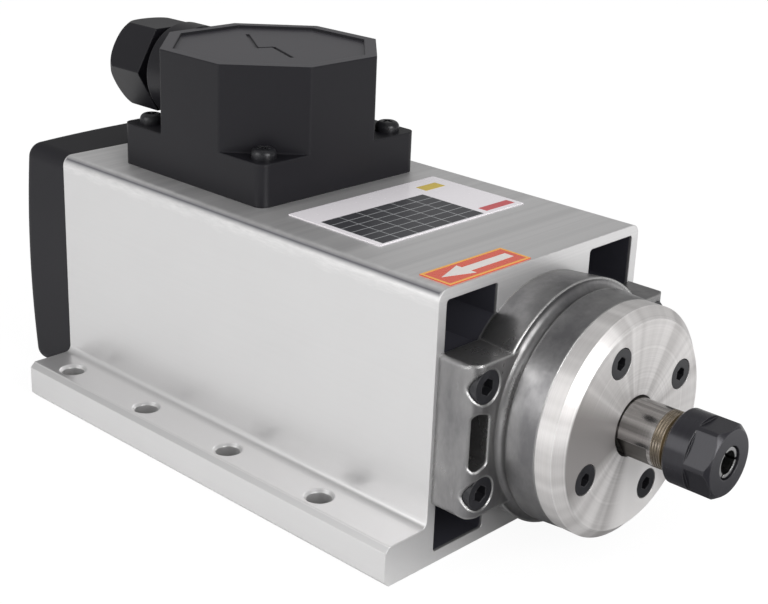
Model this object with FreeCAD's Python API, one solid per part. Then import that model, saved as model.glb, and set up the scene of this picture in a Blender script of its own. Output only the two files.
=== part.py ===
import FreeCAD, Part
import math
import os

from FreeCAD import Vector

# Air-cooled spindle motor with a collet nose.
# Lengths are millimetres. X runs along the shaft towards the nose, Z is up.
# The origin lies on the underside of the base, in the middle of its mounting holes.

# Housing extrusion
body_length = 148.5
body_width = 80.0
body_height = 73.0
body_edge_radius = 3.0
outer_wall = 2.8
base_width = 109.0
base_thickness = 11.0
base_edge_chamfer = 1.5
base_root_fillet = 2.0
axis_height = 37.0

# Mounting holes in the base
mount_pitch = 35.4
mounts_per_side = 4
first_mount_from_rear = 12.65
mount_row_spacing = 96.0
mount_hole_diameter = 6.6
mount_countersink = 0.8

# Bore and air channels of the extrusion
stator_bore_diameter = 57.0
stator_tube_wall = 2.5
corner_channel_inner_y = 18.5
corner_channel_reach = 19.0
corner_channel_floor = 3.2
channel_corner_radius = 1.0
side_channel_inner_y = 32.7
side_channel_height = 14.6

# Clearances
seat_gap = 0.02
thread_gap = 0.05
running_gap = 0.05
label_thickness = 0.25

# Front end bell
bell_radius = 31.4
bell_ridge_radius = 32.4
bell_flange_thickness = 11.5
bell_ridge_land = 0.7
bell_groove_radius = 29.4
bell_groove_length = 3.4
bell_barrel_radius = 30.6
bell_nose_radius = 30.0
bell_length = 23.3
bell_spigot_length = 6.0
bell_spigot_wall = 3.0
bell_web = 4.0
ear_half_width = 39.0
ear_half_height = 20.0
ear_edge_radius = 4.0
ear_top_radius = 1.2
ear_slot_outer_y = 38.0
ear_slot_radius = 1.6

# Screws that hold the bells
bell_screw_y = 34.2
bell_screw_z = 14.0
bell_screw_diameter = 5.0
bell_screw_length = 18.0
bell_head_diameter = 8.5
bell_head_height = 5.0
bell_counterbore_depth = 5.2
head_clearance = 0.15
shank_clearance = 0.15
tapped_extra_depth = 3.0

# Front cap
cap_rim_length = 4.8
cap_length = 7.2
cap_face_radius = 27.2
cap_spigot_length = 1.5
cap_shaft_gap = 0.5
cap_screw_circle = 20.5
cap_screw_angle = 24.0
cap_screw_count = 4
cap_screw_diameter = 4.0
cap_screw_length = 12.0
cap_head_diameter = 7.6
cap_head_height = 4.0
cap_counterbore_depth = 4.1
cap_head_clearance = 0.25

# Shaft
nose_diameter = 15.0
nose_length = 12.2
nose_thread_diameter = 14.0
nose_thread_length = 9.0
nose_thread_chamfer = 0.5
nose_flat_width = 13.0
nose_flat_length = 8.6
nose_flat_angle = 215.0
front_shoulder_diameter = 19.0
rotor_seat_diameter = 20.0
rotor_seat_margin = 8.0
rear_step_diameter = 16.0
rear_journal_diameter = 12.0
fan_seat_diameter = 10.0
shaft_end_chamfer = 0.6

# Bearings
front_bearing_outer_diameter = 32.0
front_bearing_width = 9.0
front_ball_diameter = 4.8
front_ball_count = 9
rear_bearing_outer_diameter = 28.0
rear_bearing_width = 8.0
rear_ball_diameter = 4.8
rear_ball_count = 8
bearing_ring_share = 0.30
cage_wall = 0.9
race_gap = 0.02

# Collet and its nut
collet_length = 17.6
collet_bore = 6.0
collet_face_diameter = 7.7
collet_largest_diameter = 11.2
collet_taper_half_angle = 8.0
collet_front_half_angle = 30.0
collet_slot_width = 0.7
collet_slot_count = 6
collet_slot_length = 12.0
nut_diameter = 19.0
nut_length = 13.0
nut_across_flats = 17.0
nut_flat_length = 6.6
nut_flat_angle = 90.0
nut_opening = 8.6
nut_front_wall = 0.9
nut_front_chamfer = 1.2
nut_rear_chamfer = 0.8
nut_gap_to_nose = 1.5
socket_relief_diameter = 7.2
socket_relief_length = 14.0

# Stator and rotor
stack_rear_x = -32.0
stack_length = 80.0
stator_inner_radius = 15.3
slot_count = 12
slot_width = 5.2
slot_bottom_radius = 24.0
slot_mouth_width = 1.8
tooth_tip = 1.4
end_turn_length = 13.0
end_turn_outer_radius = 26.0
end_turn_inner_radius = 16.6
end_turn_edge = 3.0
air_gap = 0.3
bar_count = 10
bar_width = 2.2
bar_depth = 3.6
bar_edge = 1.0
end_ring_length = 5.0
end_ring_outer_step = 0.6
end_ring_inner_radius = 10.6

# Rear end bell
rear_plate = 5.0
rear_spigot_length = 4.0
rear_hub_wall = 4.0
rear_bearing_inset = 0.5
rear_shoulder_radius = 9.0
rear_ear_half_width = 36.6
rear_screw_y = 32.8
rear_screw_diameter = 4.0
rear_screw_length = 14.0
rear_head_diameter = 7.0
rear_head_height = 4.0
cover_post_y = 27.0
cover_post_z = 25.0
cover_post_radius = 4.0
preload_washer_thickness = 0.5
preload_washer_rise = 1.0

# Fan and its cover
cover_bottom_gap = 2.0
cover_corner_radius = 4.5
cover_depth = 25.0
cover_crown = 3.2
cover_edge_radius = 3.5
cover_wall = 2.2
grille_radius = 29.5
grille_recess = 0.8
grille_slot = 4.0
grille_rib = 2.6
grille_rings = 3
grille_spokes = 6
grille_spoke_width = 3.0
cover_screw_diameter = 3.0
cover_screw_head_diameter = 5.6
cover_screw_head_height = 2.2
cover_screw_length = 22.0
cover_head_recess = 3.2
fan_radius = 29.0
fan_disc_thickness = 1.6
fan_hub_radius = 9.0
fan_hub_length = 10.5
fan_blade_count = 9
fan_blade_thickness = 1.6
fan_blade_height = 7.5
fan_gap_to_bell = 1.6
fan_screw_head_diameter = 8.0
fan_screw_head_height = 2.0
fan_screw_diameter = 4.0
fan_screw_length = 10.0

# Terminal box
box_size = 60.0
box_centre_from_rear = 46.0
box_foot_height = 12.0
box_height = 36.0
box_foot_corner_radius = 3.0
box_edge_radius = 0.8
box_wall = 2.5
lid_border = 3.4
lid_recess = 0.8
flash_width = 1.1
flash_depth = 0.5
box_screw_offset = 24.0
box_screw_diameter = 4.0
box_screw_grip = 3.0
box_screw_head_diameter = 7.0
box_screw_head_height = 2.8
box_seal_width = 2.0
box_seal_thickness = 1.2
box_seal_inset = 1.0

# Terminal block and leads
block_length = 14.0
block_width = 28.0
block_height = 11.0
block_offset_x = 3.0
pole_count = 3
pole_pitch = 7.0
pole_slot_width = 4.6
pole_slot_depth = 4.0
pole_screw_diameter = 3.6
lead_diameter = 2.4
lead_from_stack = 7.0
lead_bend_radius = 6.0
lead_height_on_block = 4.0
lead_window_width = 6.4

# Cable gland
gland_axis_above_body = 21.8
gland_collar_diameter = 29.0
gland_collar_length = 8.5
gland_neck_diameter = 20.0
gland_stub_diameter = 16.0
gland_stub_length = 9.0
gland_neck_length = 12.0
gland_bore = 12.0
gland_locknut_across_flats = 21.0
gland_locknut_thickness = 4.0
gland_seal_bore = 9.0
gland_seal_wall_gap = 0.1
gland_seal_length = 9.0
gland_ring_thickness = 1.2
gland_nut_across_flats = 25.0
gland_nut_length = 17.0
gland_nut_hex_length = 11.0
gland_nut_end_radius = 10.0
gland_nut_gap = 4.5
gland_nut_opening = 12.0
gland_nut_end_wall = 3.0

# Labels
nameplate_length = 33.4
nameplate_width = 57.0
nameplate_centre_from_rear = 100.6
nameplate_centre_y = 1.0
arrow_label_length = 9.8
arrow_label_width = 30.0
arrow_label_centre_from_rear = 142.8
arrow_label_centre_y = -20.4

# Places worked out from the sizes above
rear_x = -(first_mount_from_rear + (mounts_per_side - 1) * mount_pitch / 2.0)
front_x = rear_x + body_length
stack_front_x = stack_rear_x + stack_length
bell_front_x = front_x + bell_length
cap_face_x = bell_front_x + cap_length
front_bearing_front_x = bell_front_x - cap_spigot_length
front_bearing_rear_x = front_bearing_front_x - 2 * front_bearing_width
rear_bearing_rear_x = rear_x - rear_bearing_inset
rear_bearing_front_x = rear_bearing_rear_x + rear_bearing_width
nose_step_x = cap_face_x + nose_length
nut_rear_x = nose_step_x + nut_gap_to_nose
nut_front_x = nut_rear_x + nut_length
thread_front_x = nose_step_x + nose_thread_length
fan_rear_x = rear_x - rear_plate - fan_gap_to_bell
shaft_rear_x = fan_rear_x - fan_hub_length
box_x = rear_x + box_centre_from_rear
box_half = box_size / 2.0
box_top_z = body_height + box_height
box_foot_z = body_height + box_foot_height
box_rear_x = box_x - box_half
bore_radius = stator_bore_diameter / 2.0
tube_radius = bore_radius + stator_tube_wall
channel_wall_y = body_width / 2.0 - outer_wall
side_channel_half = side_channel_height / 2.0
lead_x = stack_rear_x - lead_from_stack
gland_z = body_height + gland_axis_above_body
gland_neck_x = box_rear_x - gland_collar_length - gland_neck_length
gland_nut_front_x = box_rear_x - gland_collar_length - gland_nut_gap
gland_nut_rear_x = gland_nut_front_x - gland_nut_length


# Helpers

def on_x(x):
    """Return a map from section coordinates (y, z) to a point at this x."""
    return lambda y, z: Vector(x, y, z)


def on_z(z):
    """Return a map from plan coordinates (x, y) to a point at this height."""
    return lambda x, y: Vector(x, y, z)


def rounded_wire(corners, place):
    """Closed wire through corners (u, v, radius), with an arc at each corner that has a radius."""
    edges = []
    count = len(corners)
    ends = []
    for i in range(count):
        u, v, radius = corners[i]
        corner = place(u, v)
        before = place(*corners[i - 1][:2])
        after = place(*corners[(i + 1) % count][:2])
        if radius == 0:
            ends.append((corner, None, corner))
            continue
        to_before = (before - corner).normalize()
        to_after = (after - corner).normalize()
        half = to_before.getAngle(to_after) / 2.0
        reach = radius / math.tan(half)
        middle = (to_before + to_after).normalize()
        arc_point = corner + middle * (radius / math.sin(half) - radius)
        ends.append((corner + to_before * reach, arc_point, corner + to_after * reach))
    for i in range(count):
        start, arc_point, finish = ends[i]
        if arc_point is not None:
            edges.append(Part.Arc(start, arc_point, finish).toShape())
        following = ends[(i + 1) % count][0]
        if (following - finish).Length > 1e-6:
            edges.append(Part.makeLine(finish, following))
    return Part.Wire(edges)


def prism(corners, place, direction):
    """Solid prism of a rounded outline."""
    return Part.Face(rounded_wire(corners, place)).extrude(direction)


def block(x0, x1, y0, y1, z0, z1):
    return Part.makeBox(x1 - x0, y1 - y0, z1 - z0, Vector(x0, y0, z0))


def rod_x(x0, x1, radius, y=0.0, z=axis_height):
    return Part.makeCylinder(radius, x1 - x0, Vector(x0, y, z), Vector(1, 0, 0))


def rod_z(z0, z1, radius, x, y):
    return Part.makeCylinder(radius, z1 - z0, Vector(x, y, z0))


def turned(profile, z=axis_height):
    """Solid turned about the shaft line, from points (x, radius)."""
    points = [Vector(x, 0, z + r) for x, r in profile]
    face = Part.Face(Part.makePolygon(points + [points[0]]))
    return face.revolve(Vector(0, 0, z), Vector(1, 0, 0), 360)


def turned_edges(edges, z=axis_height):
    """Solid turned about the shaft line, from a closed set of edges."""
    face = Part.Face(Part.Wire(edges))
    return face.revolve(Vector(0, 0, z), Vector(1, 0, 0), 360)


def tube_x(x0, x1, outer, inner, z=axis_height):
    return turned([(x0, inner), (x1, inner), (x1, outer), (x0, outer)], z)


def hexagon_x(x0, x1, across_flats, angle=0.0, y=0.0, z=axis_height):
    """Hexagonal prism along X. One flat faces the given angle from +Y towards +Z."""
    corner_radius = across_flats / math.sqrt(3.0)
    corners = []
    for i in range(6):
        a = math.radians(angle + 30.0 + 60.0 * i)
        corners.append((y + corner_radius * math.cos(a), z + corner_radius * math.sin(a), 0))
    return prism(corners, on_x(x0), Vector(x1 - x0, 0, 0))


def joined(pieces):
    result = pieces[0].multiFuse(pieces[1:])
    return result.removeSplitter()


def on_circle(count, radius, start_degrees=0.0):
    """Points (y, z) about the shaft line."""
    points = []
    for i in range(count):
        a = math.radians(start_degrees + 360.0 * i / count)
        points.append((radius * math.cos(a), axis_height + radius * math.sin(a)))
    return points


def four_about_axis(y, dz):
    """The four places (y, z) at plus and minus y and dz from the shaft line."""
    return [(sy * y, axis_height + sz * dz) for sy in (-1, 1) for sz in (-1, 1)]


def save(shape, node):
    shape.exportStep("parts/" + node + ".step")


# Housing

def body_section():
    half_base = base_width / 2.0
    half_body = body_width / 2.0
    c = base_edge_chamfer
    left = [(-half_base + c, 0, 0),
            (-half_base, c, 0),
            (-half_base, base_thickness - c, 0),
            (-half_base + c, base_thickness, 0),
            (-half_body, base_thickness, base_root_fillet),
            (-half_body, body_height, body_edge_radius)]
    right = [(-y, z, r) for y, z, r in reversed(left)]
    return left + right


def corner_channel(side, up):
    """Air channel in one corner, between the outer walls and the stator tube."""
    outer_z = body_height - outer_wall - axis_height
    if up < 0:
        outer_z = axis_height - corner_channel_floor
    near = axis_height + up * corner_channel_reach
    far = axis_height + up * outer_z
    r = channel_corner_radius
    corners = [(side * corner_channel_inner_y, near, r),
               (side * channel_wall_y, near, r),
               (side * channel_wall_y, far, r),
               (side * corner_channel_inner_y, far, r)]
    shape = prism(corners, on_x(rear_x), Vector(body_length, 0, 0))
    return shape.cut(rod_x(rear_x, front_x, tube_radius))


def side_channel(side):
    r = channel_corner_radius
    low = axis_height - side_channel_half
    high = axis_height + side_channel_half
    corners = [(side * side_channel_inner_y, low, r),
               (side * channel_wall_y, low, r),
               (side * channel_wall_y, high, r),
               (side * side_channel_inner_y, high, r)]
    return prism(corners, on_x(rear_x), Vector(body_length, 0, 0))


def mount_places():
    places = []
    for i in range(mounts_per_side):
        x = rear_x + first_mount_from_rear + i * mount_pitch
        places.append((x, -mount_row_spacing / 2.0))
        places.append((x, mount_row_spacing / 2.0))
    return places


def mount_hole(x, y):
    radius = mount_hole_diameter / 2.0
    hole = rod_z(0, base_thickness, radius, x, y)
    top = base_thickness - mount_countersink
    cone = Part.makeCone(radius, radius + mount_countersink, mount_countersink, Vector(x, y, top))
    return hole.fuse(cone)


def box_screw_places():
    d = box_screw_offset
    return [(box_x + sx * d, sy * d) for sx in (-1, 1) for sy in (-1, 1)]


def lead_window(z0, z1, margin=0.0):
    """Oblong window through which the phase leads rise into the terminal box."""
    half_width = lead_window_width / 2.0 + margin
    half_span = (pole_count - 1) * pole_pitch / 2.0
    middle = block(lead_x - half_width, lead_x + half_width, -half_span, half_span, z0, z1)
    ends = [rod_z(z0, z1, half_width, lead_x, y) for y in (-half_span, half_span)]
    return joined([middle] + ends)


def motor_housing():
    shape = prism(body_section(), on_x(rear_x), Vector(body_length, 0, 0))
    cuts = [rod_x(rear_x, front_x, bore_radius)]
    for side in (-1, 1):
        cuts.append(side_channel(side))
        cuts.append(corner_channel(side, 1))
        cuts.append(corner_channel(side, -1))
    for x, y in mount_places():
        cuts.append(mount_hole(x, y))
    front_depth = bell_screw_length - (bell_flange_thickness - bell_counterbore_depth)
    front_depth += tapped_extra_depth
    for y, z in four_about_axis(bell_screw_y, bell_screw_z):
        radius = bell_screw_diameter / 2.0 + thread_gap
        cuts.append(rod_x(front_x - front_depth, front_x, radius, y, z))
    rear_depth = rear_screw_length - rear_plate + tapped_extra_depth
    for y, z in four_about_axis(rear_screw_y, bell_screw_z):
        radius = rear_screw_diameter / 2.0 + thread_gap
        cuts.append(rod_x(rear_x, rear_x + rear_depth, radius, y, z))
    for x, y in box_screw_places():
        radius = box_screw_diameter / 2.0 + thread_gap
        cuts.append(rod_z(body_height - outer_wall - 1.0, body_height, radius, x, y))
    cuts.append(lead_window(axis_height + bore_radius / 2.0, body_height))
    return shape.cut(cuts)


# Front end bell and cap

def bell_outline():
    """Turned outside of the bell: drafted flange, ridge, hollow groove and barrel."""
    ridge_x = front_x + bell_flange_thickness
    groove_x = ridge_x + bell_groove_length
    z = axis_height

    def at(x, r):
        return Vector(x, 0, z + r)

    flange = at(front_x, bell_radius)
    ridge_rear = at(ridge_x - bell_ridge_land, bell_ridge_radius)
    ridge_front = at(ridge_x, bell_ridge_radius)
    hollow = at(ridge_x + bell_groove_length * 0.45, bell_groove_radius)
    barrel = at(groove_x, bell_barrel_radius)
    nose = at(bell_front_x, bell_nose_radius)
    bottom_front = at(bell_front_x, 0)
    bottom_rear = at(front_x, 0)
    return [Part.makeLine(flange, ridge_rear),
            Part.makeLine(ridge_rear, ridge_front),
            Part.Arc(ridge_front, hollow, barrel).toShape(),
            Part.makeLine(barrel, nose),
            Part.makeLine(nose, bottom_front),
            Part.makeLine(bottom_front, bottom_rear),
            Part.makeLine(bottom_rear, flange)]


def bell_ears():
    """Two ears with flat tops that carry the four screws."""
    low = axis_height - ear_half_height
    high = axis_height + ear_half_height
    front = front_x + bell_flange_thickness
    w = ear_half_width
    plan = [(front_x, -w, 0),
            (front, -w, ear_edge_radius),
            (front, w, ear_edge_radius),
            (front_x, w, 0)]
    ears = prism(plan, on_z(low), Vector(0, 0, high - low))
    r = ear_top_radius
    side = [(-w, low, r), (w, low, r), (w, high, r), (-w, high, r)]
    return ears.common(prism(side, on_x(front_x), Vector(bell_flange_thickness, 0, 0)))


def ear_slot(side, x0, x1):
    """Air outlet through one ear, with ends that follow the screw bosses."""
    low = axis_height - side_channel_half
    high = axis_height + side_channel_half
    lean = ear_slot_radius / 2.0
    r = ear_slot_radius
    corners = [(side * side_channel_inner_y, low + lean, r),
               (side * ear_slot_outer_y, low - lean, r),
               (side * ear_slot_outer_y, high + lean, r),
               (side * side_channel_inner_y, high - lean, r)]
    return prism(corners, on_x(x0), Vector(x1 - x0, 0, 0))


def front_end_bell():
    outer = turned_edges(bell_outline())
    spigot = rod_x(front_x - bell_spigot_length, front_x, bore_radius - seat_gap)
    shape = joined([outer, bell_ears(), spigot])
    flange_front = front_x + bell_flange_thickness
    bearing_radius = front_bearing_outer_diameter / 2.0 + seat_gap
    lip_radius = bearing_radius - 2.5
    cuts = [rod_x(front_x - bell_spigot_length, front_x - bell_web / 4.0, bore_radius - bell_spigot_wall),
            rod_x(front_x - bell_web, front_bearing_rear_x, lip_radius),
            rod_x(front_bearing_rear_x, bell_front_x, bearing_radius)]
    for side in (-1, 1):
        cuts.append(ear_slot(side, front_x, flange_front))
    for y, z in four_about_axis(bell_screw_y, bell_screw_z):
        hole = bell_screw_diameter / 2.0 + shank_clearance
        head = bell_head_diameter / 2.0 + head_clearance
        cuts.append(rod_x(front_x, flange_front, hole, y, z))
        cuts.append(rod_x(flange_front - bell_counterbore_depth, flange_front + bell_flange_thickness, head, y, z))
    depth = cap_screw_length - (cap_length - cap_counterbore_depth) + tapped_extra_depth
    for y, z in on_circle(cap_screw_count, cap_screw_circle, cap_screw_angle):
        cuts.append(rod_x(bell_front_x - depth, bell_front_x, cap_screw_diameter / 2.0 + thread_gap, y, z))
    return shape.cut(cuts)


def front_cap():
    bore = nose_diameter / 2.0 + cap_shaft_gap
    spigot = front_bearing_outer_diameter / 2.0 - seat_gap
    rim_x = bell_front_x + cap_rim_length
    shape = turned([(front_bearing_front_x, bore),
                    (cap_face_x, bore),
                    (cap_face_x, cap_face_radius),
                    (rim_x, bell_nose_radius),
                    (bell_front_x, bell_nose_radius),
                    (bell_front_x, spigot),
                    (front_bearing_front_x, spigot)])
    cuts = []
    for y, z in on_circle(cap_screw_count, cap_screw_circle, cap_screw_angle):
        hole = cap_screw_diameter / 2.0 + shank_clearance
        head = cap_head_diameter / 2.0 + cap_head_clearance
        cuts.append(rod_x(bell_front_x, cap_face_x, hole, y, z))
        cuts.append(rod_x(cap_face_x - cap_counterbore_depth, cap_face_x, head, y, z))
    inner_clear = front_bearing_outer_diameter / 2.0 - bearing_ring(front_bearing_outer_diameter, nose_diameter)
    cuts.append(rod_x(front_bearing_front_x, front_bearing_front_x + 1.0, inner_clear))
    return shape.cut(cuts)


def socket_screw(seat_x, y, z, head_diameter, head_height, shank_diameter, length):
    """Socket-head screw whose head seats at seat_x and whose shank runs towards -X."""
    head = rod_x(seat_x, seat_x + head_height, head_diameter / 2.0, y, z)
    shank = rod_x(seat_x - length, seat_x, shank_diameter / 2.0, y, z)
    key_size = shank_diameter * 0.8
    socket = hexagon_x(seat_x + head_height * 0.45, seat_x + head_height, key_size, 0.0, y, z)
    return head.fuse(shank).cut(socket)


def mirrored_x(shape, x):
    """Mirror a shape in the plane at this x."""
    return shape.mirror(Vector(x, 0, 0), Vector(1, 0, 0))


def front_bell_screws():
    seat = front_x + bell_flange_thickness - bell_counterbore_depth
    screws = []
    for y, z in four_about_axis(bell_screw_y, bell_screw_z):
        screws.append(socket_screw(seat, y, z, bell_head_diameter, bell_head_height,
                                   bell_screw_diameter, bell_screw_length))
    return Part.makeCompound(screws)


def front_cap_screws():
    seat = cap_face_x - cap_counterbore_depth
    screws = []
    for y, z in on_circle(cap_screw_count, cap_screw_circle, cap_screw_angle):
        screws.append(socket_screw(seat, y, z, cap_head_diameter, cap_head_height,
                                   cap_screw_diameter, cap_screw_length))
    return Part.makeCompound(screws)


# Bearings

def bearing_ring(outer_diameter, bore_diameter):
    """Radial thickness of a bearing ring."""
    return (outer_diameter - bore_diameter) / 2.0 * bearing_ring_share


def ball_circle_radius(outer_diameter, bore_diameter):
    return (outer_diameter + bore_diameter) / 4.0


def race_groove(x_middle, circle_radius, ball_diameter):
    return Part.makeTorus(circle_radius, ball_diameter / 2.0 + race_gap,
                          Vector(x_middle, 0, axis_height), Vector(1, 0, 0))


def outer_ring(x0, width, outer_diameter, bore_diameter, ball_diameter):
    ring = bearing_ring(outer_diameter, bore_diameter)
    shape = tube_x(x0, x0 + width, outer_diameter / 2.0, outer_diameter / 2.0 - ring)
    circle = ball_circle_radius(outer_diameter, bore_diameter)
    return shape.cut(race_groove(x0 + width / 2.0, circle, ball_diameter))


def inner_ring(x0, width, outer_diameter, bore_diameter, ball_diameter):
    ring = bearing_ring(outer_diameter, bore_diameter)
    bore = bore_diameter / 2.0 + seat_gap
    shape = tube_x(x0, x0 + width, bore_diameter / 2.0 + ring, bore)
    circle = ball_circle_radius(outer_diameter, bore_diameter)
    return shape.cut(race_groove(x0 + width / 2.0, circle, ball_diameter))


def ball_set(x_middle, circle_radius, ball_diameter, count):
    balls = []
    for y, z in on_circle(count, circle_radius, 90.0):
        balls.append(Part.makeSphere(ball_diameter / 2.0, Vector(x_middle, y, z)))
    return balls


def cage(x0, width, outer_diameter, bore_diameter, ball_diameter, count):
    """Thin cage ring with a pocket for each ball."""
    circle = ball_circle_radius(outer_diameter, bore_diameter)
    margin = 0.8
    shape = tube_x(x0 + margin, x0 + width - margin, circle + cage_wall / 2.0, circle - cage_wall / 2.0)
    pockets = []
    middle = Vector(x0 + width / 2.0, 0, axis_height)
    for i in range(count):
        a = math.radians(90.0 + 360.0 * i / count)
        out = Vector(0, math.cos(a), math.sin(a))
        start = middle + out * (circle - cage_wall)
        pockets.append(Part.makeCylinder(ball_diameter / 2.0 + race_gap, 2 * cage_wall, start, out))
    return shape.cut(pockets)


def front_bearing(x0):
    sizes = (x0, front_bearing_width, front_bearing_outer_diameter, nose_diameter, front_ball_diameter)
    return outer_ring(*sizes), inner_ring(*sizes)


def front_ball_cages():
    cages = []
    for i in (0, 1):
        x0 = front_bearing_rear_x + i * front_bearing_width
        cages.append(cage(x0, front_bearing_width, front_bearing_outer_diameter, nose_diameter,
                          front_ball_diameter, front_ball_count))
    return Part.makeCompound(cages)


def front_balls():
    circle = ball_circle_radius(front_bearing_outer_diameter, nose_diameter)
    balls = []
    for i in (0, 1):
        middle = front_bearing_rear_x + (i + 0.5) * front_bearing_width
        balls += ball_set(middle, circle, front_ball_diameter, front_ball_count)
    return Part.makeCompound(balls)


def rear_balls():
    circle = ball_circle_radius(rear_bearing_outer_diameter, rear_journal_diameter)
    middle = rear_bearing_rear_x + rear_bearing_width / 2.0
    return Part.makeCompound(ball_set(middle, circle, rear_ball_diameter, rear_ball_count))


# Shaft

def socket_mouth_radius():
    return collet_largest_diameter / 2.0 + running_gap


def collet_shoulder_x():
    """Where the long and the short taper of the collet meet."""
    rise = (collet_largest_diameter - collet_face_diameter) / 2.0
    return collet_front_x() - rise / math.tan(math.radians(collet_front_half_angle))


def collet_front_x():
    return nut_front_x - nut_front_wall / 2.0


def collet_rear_x():
    return collet_front_x() - collet_length


def long_taper_radius(x):
    """Radius of the collet's long taper at x."""
    back = collet_shoulder_x() - x
    return collet_largest_diameter / 2.0 - back * math.tan(math.radians(collet_taper_half_angle))


def nose_flats(x0, x1):
    """The material that the two wrench flats take off the nose."""
    gone = []
    reach = nose_diameter
    for turn in (0.0, 180.0):
        slab = block(x0, x1, nose_flat_width / 2.0, reach, -reach, reach)
        slab.rotate(Vector(0, 0, 0), Vector(1, 0, 0), nose_flat_angle + turn)
        slab.translate(Vector(0, 0, axis_height))
        gone.append(slab)
    return gone


def spindle_shaft():
    rear_step_x = rear_bearing_front_x
    seat_rear_x = stack_rear_x - rotor_seat_margin
    seat_front_x = stack_front_x + rotor_seat_margin
    fan_step_x = rear_x - rear_plate - fan_gap_to_bell
    c = shaft_end_chamfer
    t = nose_thread_chamfer
    thread_radius = nose_thread_diameter / 2.0
    shape = turned([(shaft_rear_x, 0),
                    (shaft_rear_x, fan_seat_diameter / 2.0 - c),
                    (shaft_rear_x + c, fan_seat_diameter / 2.0),
                    (fan_step_x, fan_seat_diameter / 2.0),
                    (fan_step_x, rear_journal_diameter / 2.0),
                    (rear_step_x, rear_journal_diameter / 2.0),
                    (rear_step_x, rear_step_diameter / 2.0),
                    (seat_rear_x, rear_step_diameter / 2.0),
                    (seat_rear_x, rotor_seat_diameter / 2.0),
                    (seat_front_x, rotor_seat_diameter / 2.0),
                    (seat_front_x, front_shoulder_diameter / 2.0),
                    (front_bearing_rear_x, front_shoulder_diameter / 2.0),
                    (front_bearing_rear_x, nose_diameter / 2.0),
                    (nose_step_x, nose_diameter / 2.0),
                    (nose_step_x + (nose_diameter / 2.0 - thread_radius), thread_radius),
                    (thread_front_x - t, thread_radius),
                    (thread_front_x, thread_radius - t),
                    (thread_front_x, 0)])
    deep_x = collet_rear_x() - socket_relief_length
    relief = socket_relief_diameter / 2.0
    slope = math.tan(math.radians(collet_taper_half_angle))
    taper_x = collet_rear_x() - 1.0
    mouth = long_taper_radius(thread_front_x) + running_gap
    throat = mouth - (thread_front_x - taper_x) * slope
    socket = turned([(deep_x, 0),
                     (deep_x, relief),
                     (taper_x, relief),
                     (taper_x, throat),
                     (thread_front_x, mouth),
                     (thread_front_x, 0)])
    tail_hole = rod_x(shaft_rear_x, shaft_rear_x + fan_screw_length + 1.0, fan_screw_diameter / 2.0 + thread_gap)
    cuts = [socket, tail_hole]
    cuts += nose_flats(cap_face_x - cap_length / 4.0, cap_face_x + nose_flat_length)
    return shape.cut(cuts)


# Collet and nut

def collet():
    front = collet_front_x()
    rear = collet_rear_x()
    shape = turned([(rear, collet_bore / 2.0),
                    (front, collet_bore / 2.0),
                    (front, collet_face_diameter / 2.0),
                    (collet_shoulder_x(), collet_largest_diameter / 2.0),
                    (rear, long_taper_radius(rear))])
    w = collet_slot_width / 2.0
    reach = collet_largest_diameter
    slots = []
    for i in range(collet_slot_count):
        x0 = front - collet_slot_length
        x1 = front
        if i % 2:
            x0 = rear
            x1 = rear + collet_slot_length
        slot = block(x0, x1, 0, reach, -w, w)
        slot.rotate(Vector(0, 0, 0), Vector(1, 0, 0), 360.0 * i / collet_slot_count)
        slot.translate(Vector(0, 0, axis_height))
        slots.append(slot)
    return shape.cut(slots)


def collet_nut():
    radius = nut_diameter / 2.0
    thread = nose_thread_diameter / 2.0 + thread_gap
    opening = nut_opening / 2.0
    gap = running_gap
    slope = math.tan(math.radians(collet_front_half_angle))
    cone_x = collet_front_x() - (opening - collet_face_diameter / 2.0 - gap) / slope
    base_radius = collet_largest_diameter / 2.0 + gap
    base_x = cone_x - (base_radius - opening) / slope
    f = nut_front_chamfer
    r = nut_rear_chamfer
    shape = turned([(nut_rear_x, thread),
                    (base_x, thread),
                    (base_x, base_radius),
                    (cone_x, opening),
                    (nut_front_x, opening),
                    (nut_front_x, radius - f),
                    (nut_front_x - f, radius),
                    (nut_rear_x + r, radius),
                    (nut_rear_x, radius - r)])
    flat_x = nut_front_x - nut_flat_length
    band = tube_x(flat_x, nut_front_x, nut_diameter, 0.01)
    around = band.cut(hexagon_x(flat_x, nut_front_x, nut_across_flats, nut_flat_angle))
    return shape.cut(around)


# Stator and rotor

def radial_block(x0, x1, r0, r1, width, angle):
    """Block that stands out from the shaft line at an angle from +Y towards +Z."""
    shape = block(x0, x1, r0, r1, -width / 2.0, width / 2.0)
    shape.rotate(Vector(0, 0, 0), Vector(1, 0, 0), angle)
    shape.translate(Vector(0, 0, axis_height))
    return shape


def stator_core():
    shape = tube_x(stack_rear_x, stack_front_x, bore_radius - seat_gap, stator_inner_radius)
    cuts = []
    for i in range(slot_count):
        angle = 360.0 * (i + 0.5) / slot_count
        slot_inner = stator_inner_radius + tooth_tip
        cuts.append(radial_block(stack_rear_x, stack_front_x, slot_inner, slot_bottom_radius,
                                 slot_width, angle))
        cuts.append(radial_block(stack_rear_x, stack_front_x, stator_inner_radius - 1.0,
                                 slot_inner + 0.1, slot_mouth_width, angle))
    return shape.cut(cuts)


def end_turns(x0, x1):
    e = end_turn_edge
    outer = end_turn_outer_radius
    inner = end_turn_inner_radius
    toward = 1 if x1 > x0 else -1
    return turned([(x0, inner), (x1, inner), (x1, outer - e), (x1 - toward * e, outer), (x0, outer)])


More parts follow.
